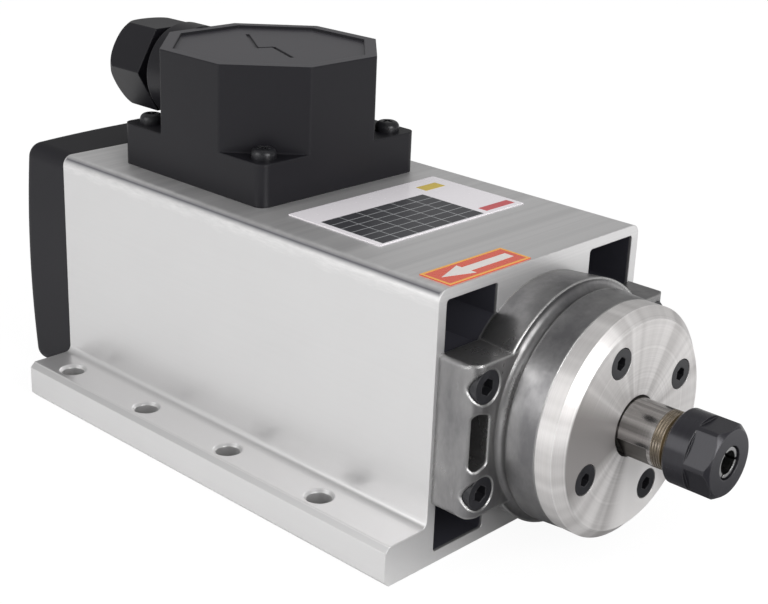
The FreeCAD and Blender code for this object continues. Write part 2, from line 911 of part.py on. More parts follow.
def stator_winding():
    pieces = [end_turns(stack_rear_x - seat_gap, stack_rear_x - end_turn_length),
              end_turns(stack_front_x + seat_gap, stack_front_x + end_turn_length)]
    inner = stator_inner_radius + tooth_tip + seat_gap
    for i in range(slot_count):
        angle = 360.0 * (i + 0.5) / slot_count
        pieces.append(radial_block(stack_rear_x - end_turn_edge, stack_front_x + end_turn_edge,
                                   inner + 0.2, slot_bottom_radius - 0.2, slot_width - 0.4, angle))
    return joined(pieces)


def lead_heights():
    bottom = axis_height + end_turn_outer_radius
    top = body_height + lead_height_on_block
    return bottom, top


def phase_leads():
    """One insulated lead for each phase, from the rear end turns up to the terminal block."""
    bottom, top = lead_heights()
    leads = []
    for i in range(pole_count):
        y = (i - (pole_count - 1) / 2.0) * pole_pitch
        r = lead_bend_radius
        half = math.sqrt(0.5)
        low = axis_height + math.sqrt(end_turn_outer_radius ** 2 - y ** 2) + 0.3
        start = Vector(lead_x, y, low)
        bend = Vector(lead_x, y, top - r)
        middle = Vector(lead_x + r - r * half, y, top - r + r * half)
        after = Vector(lead_x + r, y, top)
        end = Vector(block_rear_x() - seat_gap, y, top)
        path = Part.Wire([Part.makeLine(start, bend),
                          Part.Arc(bend, middle, after).toShape(),
                          Part.makeLine(after, end)])
        section = Part.Wire(Part.makeCircle(lead_diameter / 2.0, start, Vector(0, 0, 1)))
        leads.append(path.makePipeShell([section], True, False))
    return Part.makeCompound(leads)


def rotor_bar(angle, x0, x1, gap):
    top = stator_inner_radius - air_gap - bar_edge + gap
    return radial_block(x0, x1, top - bar_depth - 2 * gap, top, bar_width + 2 * gap, angle)


def rotor_core():
    outer = stator_inner_radius - air_gap
    shape = tube_x(stack_rear_x, stack_front_x, outer, rotor_seat_diameter / 2.0 + seat_gap)
    holes = []
    for i in range(bar_count):
        holes.append(rotor_bar(360.0 * i / bar_count, stack_rear_x, stack_front_x, seat_gap))
    return shape.cut(holes)


def rotor_cage():
    """Cast cage: a bar in each rotor slot and a ring at each end."""
    outer = stator_inner_radius - air_gap - end_ring_outer_step
    pieces = [tube_x(stack_rear_x - end_ring_length, stack_rear_x - seat_gap, outer, end_ring_inner_radius),
              tube_x(stack_front_x + seat_gap, stack_front_x + end_ring_length, outer, end_ring_inner_radius)]
    for i in range(bar_count):
        pieces.append(rotor_bar(360.0 * i / bar_count, stack_rear_x - 1.0, stack_front_x + 1.0, 0.0))
    return joined(pieces)


# Rear end bell

def rear_end_bell():
    plate_x = rear_x - rear_plate
    pieces = [rod_x(plate_x, rear_x, bell_radius)]
    w = rear_ear_half_width
    low = axis_height - ear_half_height
    high = axis_height + ear_half_height
    r = ear_edge_radius
    ears = [(-w, low, r), (w, low, r), (w, high, r), (-w, high, r)]
    pieces.append(prism(ears, on_x(plate_x), Vector(rear_plate, 0, 0)))
    post_radius = math.hypot(cover_post_y, cover_post_z)
    post_angle = math.degrees(math.atan2(cover_post_z, cover_post_y))
    for angle in (post_angle, 180.0 - post_angle, 180.0 + post_angle, -post_angle):
        pieces.append(radial_block(plate_x, rear_x, 0, post_radius, 2 * cover_post_radius, angle))
    for y, z in four_about_axis(cover_post_y, cover_post_z):
        pieces.append(rod_x(plate_x, rear_x, cover_post_radius, y, z))
    hub = rear_bearing_outer_diameter / 2.0 + rear_hub_wall
    pieces.append(rod_x(rear_x, rear_x + rear_spigot_length, bore_radius - seat_gap))
    pieces.append(rod_x(rear_x, rear_bearing_front_x, hub))
    shape = joined(pieces)
    seat = rear_bearing_outer_diameter / 2.0 + seat_gap
    seat_rear_x = rear_bearing_rear_x - preload_washer_rise
    cuts = [rod_x(seat_rear_x, rear_bearing_front_x, seat),
            rod_x(plate_x, seat_rear_x, rear_shoulder_radius)]
    relief = rear_spigot_length - 1.0
    cuts.append(tube_x(rear_x + rear_spigot_length - relief, rear_x + rear_spigot_length,
                       bore_radius - bell_spigot_wall, hub))
    for y, z in four_about_axis(rear_screw_y, bell_screw_z):
        cuts.append(rod_x(plate_x, rear_x, rear_screw_diameter / 2.0 + shank_clearance, y, z))
    for y, z in four_about_axis(cover_post_y, cover_post_z):
        cuts.append(rod_x(plate_x, rear_x, cover_screw_diameter / 2.0 + thread_gap, y, z))
    return shape.cut(cuts)


def preload_washer():
    """Conical spring washer that loads the outer ring of the rear bearing."""
    outer = rear_bearing_outer_diameter / 2.0 - 0.3
    inner = outer - bearing_ring(rear_bearing_outer_diameter, rear_journal_diameter) - 1.0
    x0 = rear_bearing_rear_x - preload_washer_rise
    t = preload_washer_thickness
    return turned([(x0, inner), (x0 + t, inner), (x0 + preload_washer_rise, outer),
                   (x0 + preload_washer_rise - t, outer)])


def rear_bell_screws():
    seat = rear_x - rear_plate
    screws = []
    for y, z in four_about_axis(rear_screw_y, bell_screw_z):
        screw = socket_screw(seat, y, z, rear_head_diameter, rear_head_height,
                             rear_screw_diameter, rear_screw_length)
        screws.append(mirrored_x(screw, seat))
    return Part.makeCompound(screws)


# Fan and cover

def cover_block(inset):
    """Cover outline, crowned at the back, moved inwards all round by the inset."""
    half = body_width / 2.0 - inset
    low = cover_bottom_gap + inset
    high = body_height - inset
    r = cover_corner_radius - inset
    outline = [(-half, low, r), (half, low, r), (half, high, r), (-half, high, r)]
    length = cover_depth - inset
    prism_shape = prism(outline, on_x(rear_x - length), Vector(length, 0, 0))
    reach = body_width / 2.0
    ball_radius = reach ** 2 / (2 * cover_crown)
    centre = Vector(rear_x - cover_depth + ball_radius, 0, axis_height)
    return prism_shape.common(Part.makeSphere(ball_radius - inset, centre))


def rounded_cover_block():
    """Outside of the cover with its back edge rounded."""
    shape = cover_block(0.0)
    limit = rear_x - cover_depth + 2 * cover_crown
    edges = []
    for edge in shape.Edges:
        box = edge.BoundBox
        if box.XMax < limit and box.XLength < cover_crown:
            edges.append(edge)
    return shape.makeFillet(cover_edge_radius, edges)


def grille_floor_x():
    return rear_x - cover_depth + cover_crown / 2.0 + grille_recess


def grille_cuts():
    """Rings of arc slots, parted by spokes, through the round panel at the back."""
    x0 = rear_x - cover_depth
    x1 = rear_x - cover_depth + cover_wall + cover_crown + grille_recess + 1.0
    outer = grille_radius - grille_rib / 2.0
    rings = []
    for i in range(grille_rings):
        rings.append(tube_x(x0, x1, outer, outer - grille_slot))
        outer -= grille_slot + grille_rib
    spokes = []
    for i in range(grille_spokes):
        angle = 360.0 * (i + 0.5) / grille_spokes
        spokes.append(radial_block(x0, x1, 0, grille_radius, grille_spoke_width, angle))
    return [ring.cut(spokes) for ring in rings]


def fan_cover():
    shell = rounded_cover_block().cut(cover_block(cover_wall))
    floor = grille_floor_x()
    panel = rod_x(floor, floor + cover_wall, grille_radius + cover_wall)
    post_front = rear_x - rear_plate
    posts = []
    for y, z in four_about_axis(cover_post_y, cover_post_z):
        posts.append(rod_x(rear_x - cover_depth + cover_crown, post_front, cover_post_radius, y, z))
    inside = rounded_cover_block()
    shape = joined([shell] + [piece.common(inside) for piece in [panel] + posts])
    cuts = [rod_x(rear_x - cover_depth - 1.0, floor, grille_radius)]
    for y, z in four_about_axis(cover_post_y, cover_post_z):
        hole = cover_screw_diameter / 2.0 + shank_clearance
        head = cover_screw_head_diameter / 2.0 + head_clearance
        cuts.append(rod_x(rear_x - cover_depth, post_front, hole, y, z))
        cuts.append(rod_x(rear_x - cover_depth, cover_screw_seat_x(), head, y, z))
    return shape.cut(cuts + grille_cuts())


def cover_screw_seat_x():
    return rear_x - cover_depth + cover_crown + cover_head_recess


def fan_cover_screws():
    seat = cover_screw_seat_x()
    screws = []
    for y, z in four_about_axis(cover_post_y, cover_post_z):
        head = Part.makeCone(cover_screw_head_diameter / 2.0 - 0.6, cover_screw_head_diameter / 2.0,
                             cover_screw_head_height, Vector(seat - cover_screw_head_height, y, z),
                             Vector(1, 0, 0))
        length = post_length() + rear_plate
        shank = rod_x(seat, seat + length, cover_screw_diameter / 2.0, y, z)
        screws.append(cross_recess_x(head.fuse(shank), seat - cover_screw_head_height, y, z))
    return Part.makeCompound(screws)


def post_length():
    return rear_x - rear_plate - cover_screw_seat_x()


def cross_recess_x(screw, face_x, y, z):
    """Cut a cross recess into a head whose face looks towards -X."""
    arm = cover_screw_head_diameter * 0.32
    width = 0.7
    depth = 1.1
    one = block(face_x, face_x + depth, y - arm, y + arm, z - width / 2.0, z + width / 2.0)
    two = block(face_x, face_x + depth, y - width / 2.0, y + width / 2.0, z - arm, z + arm)
    return screw.cut([one, two])


def cooling_fan():
    """Paddle fan that works in both directions of rotation."""
    bore = fan_seat_diameter / 2.0 + seat_gap
    hub_rear = fan_rear_x - fan_hub_length
    hub = rod_x(hub_rear, fan_rear_x, fan_hub_radius)
    disc = rod_x(fan_rear_x - fan_disc_thickness, fan_rear_x, fan_radius)
    pieces = [hub, disc]
    for i in range(fan_blade_count):
        angle = 90.0 + 360.0 * i / fan_blade_count
        pieces.append(radial_block(fan_rear_x - fan_disc_thickness - fan_blade_height, fan_rear_x,
                                   fan_hub_radius / 2.0 + bore / 2.0, fan_radius - 0.5,
                                   fan_blade_thickness, angle))
    return joined(pieces).cut(rod_x(hub_rear, fan_rear_x, bore))


def fan_screw():
    seat = shaft_rear_x
    head = rod_x(seat - fan_screw_head_height, seat, fan_screw_head_diameter / 2.0)
    shank = rod_x(seat, seat + fan_screw_length, fan_screw_diameter / 2.0)
    return cross_recess_x(head.fuse(shank), seat - fan_screw_head_height, 0.0, axis_height)


# Terminal box

def square_plan(half, radius):
    return [(box_x - half, -half, radius), (box_x + half, -half, radius),
            (box_x + half, half, radius), (box_x - half, half, radius)]


def octagon_plan(half, radius):
    """Regular octagon with flats on the same square as the foot."""
    leg = half * (2.0 - math.sqrt(2.0))
    near = half - leg
    points = [(-near, -half), (near, -half), (half, -near), (half, near),
              (near, half), (-near, half), (-half, near), (-half, -near)]
    return [(box_x + x, y, radius) for x, y in points]


def tower_inner_half():
    return box_half - box_wall


def flash_groove():
    """Shallow zigzag groove in the lid."""
    points = [(-17.6, 6.6), (-0.9, -4.5), (0.9, 0.1), (14.8, -5.5)]
    floor = box_top_z - lid_recess - flash_depth
    pieces = []
    for (xa, ya), (xb, yb) in zip(points, points[1:]):
        length = math.hypot(xb - xa, yb - ya)
        bar = block(0, length, -flash_width / 2.0, flash_width / 2.0, 0, flash_depth + 1.0)
        bar.rotate(Vector(0, 0, 0), Vector(0, 0, 1), math.degrees(math.atan2(yb - ya, xb - xa)))
        bar.translate(Vector(box_x + xa, ya, floor))
        pieces.append(bar)
    return joined(pieces)


def terminal_box():
    foot = prism(square_plan(box_half, box_foot_corner_radius), on_z(body_height),
                 Vector(0, 0, box_foot_height))
    tower = prism(octagon_plan(box_half, box_edge_radius), on_z(body_height), Vector(0, 0, box_height))
    shape = joined([foot, tower])
    inner = prism(octagon_plan(tower_inner_half(), 0), on_z(body_height),
                  Vector(0, 0, box_height - box_wall - lid_recess))
    lid = prism(octagon_plan(box_half - lid_border, 0), on_z(box_top_z - lid_recess),
                Vector(0, 0, lid_recess))
    cuts = [inner, lid, flash_groove()]
    cuts.append(rod_x(box_rear_x, box_rear_x + box_wall, gland_stub_diameter / 2.0 + thread_gap, 0, gland_z))
    for x, y in box_screw_places():
        cuts.append(rod_z(body_height, box_foot_z, box_screw_diameter / 2.0 + shank_clearance, x, y))
    cuts.append(seal_ring(0.0))
    return shape.cut(cuts)


def seal_ring(gap):
    """Ring in the underside of the box, just inside its foot."""
    outer = box_half - box_seal_inset - gap
    inner = outer - box_seal_width + 2 * gap
    outer_shape = prism(octagon_plan(outer, 0), on_z(body_height), Vector(0, 0, box_seal_thickness - gap))
    inner_shape = prism(octagon_plan(inner, 0), on_z(body_height), Vector(0, 0, box_seal_thickness - gap))
    return outer_shape.cut(inner_shape)


def box_screws():
    screws = []
    length = box_foot_height + box_screw_grip
    for x, y in box_screw_places():
        shank = rod_z(box_foot_z - length, box_foot_z, box_screw_diameter / 2.0, x, y)
        radius = box_screw_head_diameter / 2.0
        head = rod_z(box_foot_z, box_foot_z + box_screw_head_height, radius, x, y)
        top = [edge for edge in head.Edges if edge.BoundBox.ZMin > box_foot_z + box_screw_head_height / 2.0]
        head = head.makeFillet(box_screw_head_height * 0.6, top)
        arm = radius * 0.55
        width = 0.9
        deep = box_foot_z + box_screw_head_height - 1.3
        one = block(x - arm, x + arm, y - width / 2.0, y + width / 2.0, deep, deep + 2.0)
        two = block(x - width / 2.0, x + width / 2.0, y - arm, y + arm, deep, deep + 2.0)
        screws.append(head.fuse(shank).cut([one, two]))
    return Part.makeCompound(screws)


def block_rear_x():
    return box_x + block_offset_x - block_length / 2.0


def pole_places():
    return [(i - (pole_count - 1) / 2.0) * pole_pitch for i in range(pole_count)]


def terminal_block():
    x0 = block_rear_x()
    x1 = x0 + block_length
    half = block_width / 2.0
    top = body_height + block_height
    shape = block(x0, x1, -half, half, body_height, top)
    cuts = []
    for y in pole_places():
        w = pole_slot_width / 2.0
        cuts.append(block(x0, x1, y - w, y + w, top - pole_slot_depth, top))
        cuts.append(rod_z(top - 2 * pole_slot_depth, top, pole_screw_diameter / 2.0 + thread_gap,
                          (x0 + x1) / 2.0, y))
    return shape.cut(cuts)


def terminal_screws():
    x = block_rear_x() + block_length / 2.0
    top = body_height + block_height
    screws = []
    for y in pole_places():
        shank = rod_z(top - 2 * pole_slot_depth, top - pole_slot_depth, pole_screw_diameter / 2.0 - 0.1, x, y)
        head = rod_z(top - pole_slot_depth, top - 1.0, pole_screw_diameter / 2.0, x, y)
        slot = block(x - pole_screw_diameter, x + pole_screw_diameter, y - 0.3, y + 0.3, top - 1.8, top)
        screws.append(head.fuse(shank).cut(slot))
    return Part.makeCompound(screws)


# Cable gland

def gland_body():
    """Collar outside the box, threaded stub through its wall and a neck for the cap nut."""
    stub = gland_stub_diameter / 2.0
    neck = gland_neck_diameter / 2.0
    neck_root = box_rear_x - gland_collar_length
    stub_end = box_rear_x + gland_stub_length
    bore = gland_bore / 2.0
    seal_seat = neck_seal_radius()
    seal_end = gland_neck_x + gland_seal_length
    return turned([(gland_neck_x, seal_seat),
                   (seal_end, seal_seat),
                   (seal_end, bore),
                   (stub_end, bore),
                   (stub_end, stub),
                   (box_rear_x, stub),
                   (box_rear_x, gland_collar_diameter / 2.0),
                   (neck_root, gland_collar_diameter / 2.0),
                   (neck_root, neck),
                   (gland_neck_x, neck)], gland_z)


def neck_seal_radius():
    return gland_neck_diameter / 2.0 - 1.5


def gland_locknut():
    x0 = box_rear_x + box_wall
    x1 = x0 + gland_locknut_thickness
    ring = hexagon_x(x0, x1, gland_locknut_across_flats, 90.0, 0.0, gland_z)
    return ring.cut(rod_x(x0, x1, gland_stub_diameter / 2.0 + thread_gap, 0.0, gland_z))


def gland_seal():
    outer = neck_seal_radius() - gland_seal_wall_gap
    return tube_x(gland_neck_x, gland_neck_x + gland_seal_length - seat_gap, outer,
                  gland_seal_bore / 2.0, gland_z)


def gland_pressure_ring():
    x1 = gland_neck_x - running_gap
    return tube_x(x1 - gland_ring_thickness, x1, neck_seal_radius(), gland_nut_opening / 2.0, gland_z)


def gland_cap_nut():
    """Hexagonal cap nut with a domed end."""
    x_front = gland_nut_front_x
    x_rear = gland_nut_rear_x
    thread = gland_neck_diameter / 2.0 + thread_gap
    inner_x = gland_neck_x - running_gap - gland_ring_thickness - running_gap
    hex_x = x_front - gland_nut_hex_length
    corner = gland_nut_across_flats / math.sqrt(3.0)
    opening = gland_nut_opening / 2.0
    z = gland_z

    def at(x, r):
        return Vector(x, 0, z + r)

    half = math.sqrt(0.5)
    dome_length = hex_x - x_rear
    dome_rise = corner - gland_nut_end_radius
    dome_middle = at(hex_x - dome_length * half, gland_nut_end_radius + dome_rise * half)
    edges = [Part.makeLine(at(x_front, thread), at(inner_x, thread)),
             Part.makeLine(at(inner_x, thread), at(inner_x, opening)),
             Part.makeLine(at(inner_x, opening), at(x_rear, opening)),
             Part.makeLine(at(x_rear, opening), at(x_rear, gland_nut_end_radius)),
             Part.Arc(at(x_rear, gland_nut_end_radius), dome_middle, at(hex_x, corner)).toShape(),
             Part.makeLine(at(hex_x, corner), at(x_front, corner)),
             Part.makeLine(at(x_front, corner), at(x_front, thread))]
    shape = turned_edges(edges, gland_z)
    return shape.common(hexagon_x(x_rear, x_front, gland_nut_across_flats, 90.0, 0.0, gland_z))


# Labels

def label(centre_from_rear, centre_y, length, width):
    x0 = rear_x + centre_from_rear - length / 2.0
    y0 = centre_y - width / 2.0
    return block(x0, x0 + length, y0, y0 + width, body_height, body_height + label_thickness)


# Every piece by name

def pieces():
    front_outer_rear, front_inner_rear = front_bearing(front_bearing_rear_x)
    front_outer_front, front_inner_front = front_bearing(front_bearing_rear_x + front_bearing_width)
    rear_sizes = (rear_bearing_rear_x, rear_bearing_width, rear_bearing_outer_diameter,
                  rear_journal_diameter, rear_ball_diameter)
    return {
        "motor_housing": motor_housing(),
        "front_end_bell": front_end_bell(),
        "front_bell_screws": front_bell_screws(),
        "front_cap": front_cap(),
        "front_cap_screws": front_cap_screws(),
        "rear_end_bell": rear_end_bell(),
        "rear_bell_screws": rear_bell_screws(),
        "preload_washer": preload_washer(),
        "fan_cover": fan_cover(),
        "fan_cover_screws": fan_cover_screws(),
        "stator_core": stator_core(),
        "stator_winding": stator_winding(),
        "phase_leads": phase_leads(),
        "front_bearing_outer_ring_a": front_outer_rear,
        "front_bearing_outer_ring_b": front_outer_front,
        "rear_bearing_outer_ring": outer_ring(*rear_sizes),
        "terminal_box": terminal_box(),
        "terminal_box_seal": seal_ring(seat_gap),
        "terminal_box_screws": box_screws(),
        "terminal_block": terminal_block(),
        "terminal_screws": terminal_screws(),
        "gland_body": gland_body(),
        "gland_locknut": gland_locknut(),
        "gland_seal": gland_seal(),
        "gland_pressure_ring": gland_pressure_ring(),
        "gland_cap_nut": gland_cap_nut(),
        "nameplate": label(nameplate_centre_from_rear, nameplate_centre_y, nameplate_length,
                           nameplate_width),
        "rotation_label": label(arrow_label_centre_from_rear, arrow_label_centre_y,
                                arrow_label_length, arrow_label_width),
        "spindle_shaft": spindle_shaft(),
        "rotor_core": rotor_core(),
        "rotor_cage": rotor_cage(),
        "front_bearing_inner_ring_a": front_inner_rear,
        "front_bearing_inner_ring_b": front_inner_front,
        "rear_bearing_inner_ring": inner_ring(*rear_sizes),
        "cooling_fan": cooling_fan(),
        "fan_screw": fan_screw(),
        "front_bearing_cages": front_ball_cages(),
        "front_bearing_balls": front_balls(),
        "rear_bearing_cage": cage(*rear_sizes, rear_ball_count),
        "rear_bearing_balls": rear_balls(),
        "collet": collet(),
        "collet_nut": collet_nut(),
    }


os.makedirs("parts", exist_ok=True)
for node, shape in pieces().items():
    save(shape, node)
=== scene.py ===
import math

import bmesh
import bpy
from mathutils import Matrix, Vector


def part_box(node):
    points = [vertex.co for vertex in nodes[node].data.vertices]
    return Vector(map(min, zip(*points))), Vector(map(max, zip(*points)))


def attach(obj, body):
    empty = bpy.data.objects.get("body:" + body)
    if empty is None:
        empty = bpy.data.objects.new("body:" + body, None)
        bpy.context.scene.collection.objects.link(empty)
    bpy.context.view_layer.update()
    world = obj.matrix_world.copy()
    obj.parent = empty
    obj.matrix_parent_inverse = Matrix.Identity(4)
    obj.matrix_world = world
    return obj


bl_info = {
    "name": "Spindle Motor Dressing",
    "version": (1, 0, 0),
    "blender": (4, 5, 0),
    "location": "3D View > Sidebar > Spindle",
    "description": "Finishes, printed labels, thread and studio for an air-cooled spindle motor",
    "category": "Object",
}

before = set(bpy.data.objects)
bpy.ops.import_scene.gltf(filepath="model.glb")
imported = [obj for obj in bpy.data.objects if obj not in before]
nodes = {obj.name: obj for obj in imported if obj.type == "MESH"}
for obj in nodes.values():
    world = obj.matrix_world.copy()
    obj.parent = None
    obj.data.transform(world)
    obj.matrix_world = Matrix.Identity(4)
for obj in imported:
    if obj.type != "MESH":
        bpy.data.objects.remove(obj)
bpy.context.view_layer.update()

IMAGE_WIDTH = 768
SENSOR_WIDTH = 36.0
MM = 0.001

# Sizes of the solids that no node's box gives, in metres

BODY_HALF_WIDTH = 0.040
FLANGE_THICKNESS = 0.011
NOSE_RADIUS = 0.0075
THREAD_INNER_RADIUS = 0.0068

# Lamps: name, setting of the power, place and size

LAMPS = (("key_lamp", "key_power", (-0.20, -0.90, 0.45), 0.70),
         ("fill_lamp", "fill_power", (0.95, -0.10, 0.40), 0.55),
         ("top_lamp", "top_power", (-0.10, 0.20, 1.00), 0.80))

# Floor as the camera and as metal see it. The dark card lies where X plus Y is between its two edges

FLOOR_GLOW = 1.04
FLOOR_GLOW_SHARE = 0.9
CARD_NEAR_EDGE = (0.02, 0.10)
CARD_FAR_EDGE = (0.30, 0.20)

plate_low, plate_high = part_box("nameplate")
arrow_low, arrow_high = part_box("rotation_label")
shaft_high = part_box("spindle_shaft")[1]
nut_low, nut_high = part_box("collet_nut")
cap_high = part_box("front_cap")[1]
body_low, body_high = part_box("motor_housing")
box_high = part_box("terminal_box")[1]
axis_z = (nut_low.z + nut_high.z) / 2.0


# Settings

def colour(name, description, value):
    return bpy.props.FloatVectorProperty(name=name, description=description, subtype="COLOR",
                                         size=3, min=0.0, max=1.0, default=value)


def length(name, description, millimetres):
    return bpy.props.FloatProperty(name=name, description=description, default=millimetres * MM,
                                   min=0.0, precision=5, unit="LENGTH")


def portion(name, description, value):
    return bpy.props.FloatProperty(name=name, description=description, default=value,
                                   min=0.0, max=1.0, subtype="FACTOR")


def count(name, description, value, low, high):
    return bpy.props.IntProperty(name=name, description=description, default=value, min=low, max=high)


def angle(name, description, degrees):
    return bpy.props.FloatProperty(name=name, description=description, subtype="ANGLE",
                                   default=math.radians(degrees))


def positive(name, description, value, unit="NONE"):
    return bpy.props.FloatProperty(name=name, description=description, default=value, min=0.0, unit=unit)


class SpindleColours(bpy.types.PropertyGroup):
    """Colours of the visible finishes"""

    extrusion: colour("Extrusion", "Satin body of the motor", (0.74, 0.735, 0.735))
    extrusion_shade: colour("Extrusion shade", "Darker grain of the body", (0.69, 0.685, 0.685))
    burr: colour("Burr", "Rubbed band under the body's long edges", (0.88, 0.87, 0.87))
    # Painted light: the near-white flange colour stands in for the key lamp and the bright side wall lighting
    # the flange tops.
    flange_top_light: colour("Flange", "Milled top of the mounting flanges", (0.95, 0.94, 0.94))
    # Painted shade: the near-black channel colour stands in for the shadow inside the body's channels.
    channel: colour("Channel", "Dull walls inside the body's channels", (0.090, 0.090, 0.112))
    casting: colour("Casting", "Front and rear end bells", (0.34, 0.335, 0.335))
    casting_shade: colour("Casting shade", "Dull patches of the castings", (0.16, 0.158, 0.165))
    cap: colour("Cap", "Turned front cap", (0.90, 0.88, 0.87))
    # Painted reflection: this dark colour darkens the cap's tool marks and paints the dark reflection sectors
    # of its face.
    cap_marks_and_reflection: colour("Cap shade", "Darker sectors of the turned cap", (0.30, 0.285, 0.28))
    plastic: colour("Moulding", "Black moulded parts", (0.010, 0.0095, 0.0125))
    plastic_shade: colour("Moulding shade", "Darker mottle of the mouldings", (0.009, 0.0085, 0.011))
    lid: colour("Lid", "Smoother top of the terminal box", (0.050, 0.048, 0.055))
    steel: colour("Ground steel", "Shaft nose", (0.78, 0.76, 0.745))
    # Painted reflection: the dark of the shaft's tool marks and of its painted reflection bands along the
    # axis.
    steel_marks_and_reflection: colour("Steel shade", "Darker streaks of the shaft", (0.13, 0.125, 0.12))
    flat: colour("Wrench flat", "Dull milled flats of the shaft", (0.105, 0.098, 0.088))
    thread: colour("Thread", "Dirty brassy flanks of the nose thread", (0.34, 0.25, 0.13))
    nut: colour("Nut", "Black oxide of the collet nut", (0.016, 0.0155, 0.019))
    screw: colour("Screw", "Black oxide of the screws", (0.012, 0.012, 0.014))
    plate: colour("Plate", "White printed film", (0.90, 0.865, 0.90))
    plate_print: colour("Plate print", "Dark table on the plate", (0.040, 0.040, 0.045))
    arrow_film: colour("Arrow film", "Red ground of the arrow label", (0.74, 0.095, 0.05))
    arrow_border: colour("Arrow border", "Yellow line round the arrow label", (0.90, 0.45, 0.09))


class SpindlePrint(bpy.types.PropertyGroup):
    """Layout of the two printed labels"""

    ink_thickness: length("Ink thickness", "How far the print stands on its film", 0.03)
    table_from_rear: portion("Table start", "Where the table starts, as a share of the plate's depth", 0.31)
    table_left: portion("Table left", "Left side of the table, as a share of the plate's width", 0.03)
    table_right: portion("Table right", "Right side of the table, as a share of the plate's width", 0.72)
    table_rows: count("Rows", "Rows of the table", 6, 1, 12)
    table_columns: count("Columns", "Columns of the table", 6, 1, 12)
    line_width: length("Line width", "Width of the lines between the cells", 0.26)
    plate_margin: length("Plate margin", "Bare strip round the plate", 0.6)
    arrow_head: length("Arrow head", "Length of the arrow's head", 9.0)
    arrow_head_width: length("Head width", "Width of the arrow's head", 6.4)
    arrow_shaft_width: length("Shaft width", "Width of the arrow's shaft", 2.9)
    arrow_margin: length("Arrow margin", "Distance of the arrow from the ends of its film", 2.4)
    border_width: length("Border width", "Width of the yellow line", 0.75)


class SpindleThread(bpy.types.PropertyGroup):
    """Ridges of the nose thread"""

    shown: length("Thread shown", "Length of the thread that shows behind the nut", 4.1)
    behind_front: length("Thread length", "Length of the thread behind the shaft's front end", 9.0)
    run_out: length("Run-out", "Length of the chamfer where the thread starts", 0.5)
    pitch: length("Pitch", "Distance between two ridges", 0.75)
    crest: length("Crest radius", "Radius over the ridges", 7.35)
    root: length("Root radius", "Radius between the ridges", 7.02)
    steps: count("Steps", "Steps round the thread", 96, 24, 256)


class SpindleStage(bpy.types.PropertyGroup):
    """Camera, floor and lights"""

    camera_place: bpy.props.FloatVectorProperty(
        name="Camera place", description="Place of the camera", subtype="XYZ", unit="LENGTH",
        size=3, default=(0.29115, -0.2826, 0.1919))
    heading: angle("Heading", "Direction of the view about Z", 132.94)
    pitch: angle("Pitch", "How far the view looks down", 20.9)
    roll: angle("Roll", "Turn of the picture", 2.35)
    focal_pixels: bpy.props.FloatProperty(name="Focal length in pixels",
                                          description="Focal length over the picture's width",
                                          default=1482.4, min=100.0)
    floor_colour: colour("Floor", "Pale floor", (0.90, 0.90, 0.90))
    floor_shade: colour("Floor shade", "Floor beside the nose as the metal reflects it", (0.16, 0.16, 0.165))
    world_strength: positive("Sky strength", "Even light from all round", 0.65)
    mirror_strength: positive("Mirrored sky", "Sky as polished faces reflect it", 0.34)
    key_power: positive("Key power", "Power of the large side lamp", 3.55, "POWER")
    fill_power: positive("Fill power", "Power of the lamp at the nose", 5.6, "POWER")
    top_power: positive("Top power", "Power of the lamp overhead", 0.3, "POWER")


# Node helpers

def add_node(tree, kind, inputs=None, **attributes):
    """Add a node, set its attributes, then its unlinked inputs by name or number."""
    node = tree.nodes.new(kind)
    for key, value in attributes.items():
        setattr(node, key, value)
    for key, value in (inputs or {}).items():
        node.inputs[key].default_value = value
    return node


def join(tree, source, output, target, entry):
    tree.links.new(source.outputs[output], target.inputs[entry])


def feed(tree, operand, node, entry):
    """Give an input its operand, a number or a (node, output) pair."""
    if isinstance(operand, tuple):
        join(tree, operand[0], operand[1], node, entry)
    else:
        node.inputs[entry].default_value = operand


def math_node(tree, operation, *operands):
    """Math node whose operands are numbers or (node, output) pairs."""
    node = add_node(tree, "ShaderNodeMath", operation=operation)
    for index, operand in enumerate(operands):
        feed(tree, operand, node, index)
    return node


def vector_node(tree, operation, *operands):
    """Vector Math node whose operands are (node, output) pairs."""
    node = add_node(tree, "ShaderNodeVectorMath", operation=operation)
    for index, operand in enumerate(operands):
        feed(tree, operand, node, index)
    return node


def new_group(name, inputs, outputs):
    """Node group with inputs by name and default, and outputs by name. Only Normal is a vector output."""
    tree = bpy.data.node_groups.new(name, "ShaderNodeTree")
    for label, default in inputs.items():
        kind = "NodeSocketVector" if isinstance(default, tuple) else "NodeSocketFloat"
        socket = tree.interface.new_socket(label, in_out="INPUT", socket_type=kind)
        socket.default_value = default
    for label in outputs:
        kind = "NodeSocketVector" if label == "Normal" else "NodeSocketFloat"
        tree.interface.new_socket(label, in_out="OUTPUT", socket_type=kind)
    start = tree.nodes.new("NodeGroupInput")
    end = tree.nodes.new("NodeGroupOutput")
    return tree, start, end


def noise(tree, vector, scale, detail=3.0, roughness=0.5):
    """Noise at a (node, output) pair. Its scale is a number or another pair."""
    node = add_node(tree, "ShaderNodeTexNoise", {"Detail": detail, "Roughness": roughness})
    feed(tree, vector, node, "Vector")
    feed(tree, scale, node, "Scale")
    return node


def ramp(tree, value, low, high):
    """Zero at low and one at high, for a (node, output) pair."""
    node = add_node(tree, "ShaderNodeMapRange",
                    {"From Min": low, "From Max": high, "To Min": 0.0, "To Max": 1.0})
    feed(tree, value, node, "Value")
    return node


def object_place(tree):
    """Object coordinates as a (node, output) pair."""
    return tree.nodes.new("ShaderNodeTexCoord"), "Object"


def split_place(tree):
    """Object coordinates as X, Y and Z."""
    parts = tree.nodes.new("ShaderNodeSeparateXYZ")
    feed(tree, object_place(tree), parts, 0)
    return parts


def stretched_place(tree, scale, rotation=(0.0, 0.0, 0.0)):
    """Object coordinates, turned and scaled."""
    node = add_node(tree, "ShaderNodeMapping", {"Rotation": rotation, "Scale": scale})
    feed(tree, object_place(tree), node, "Vector")
    return node


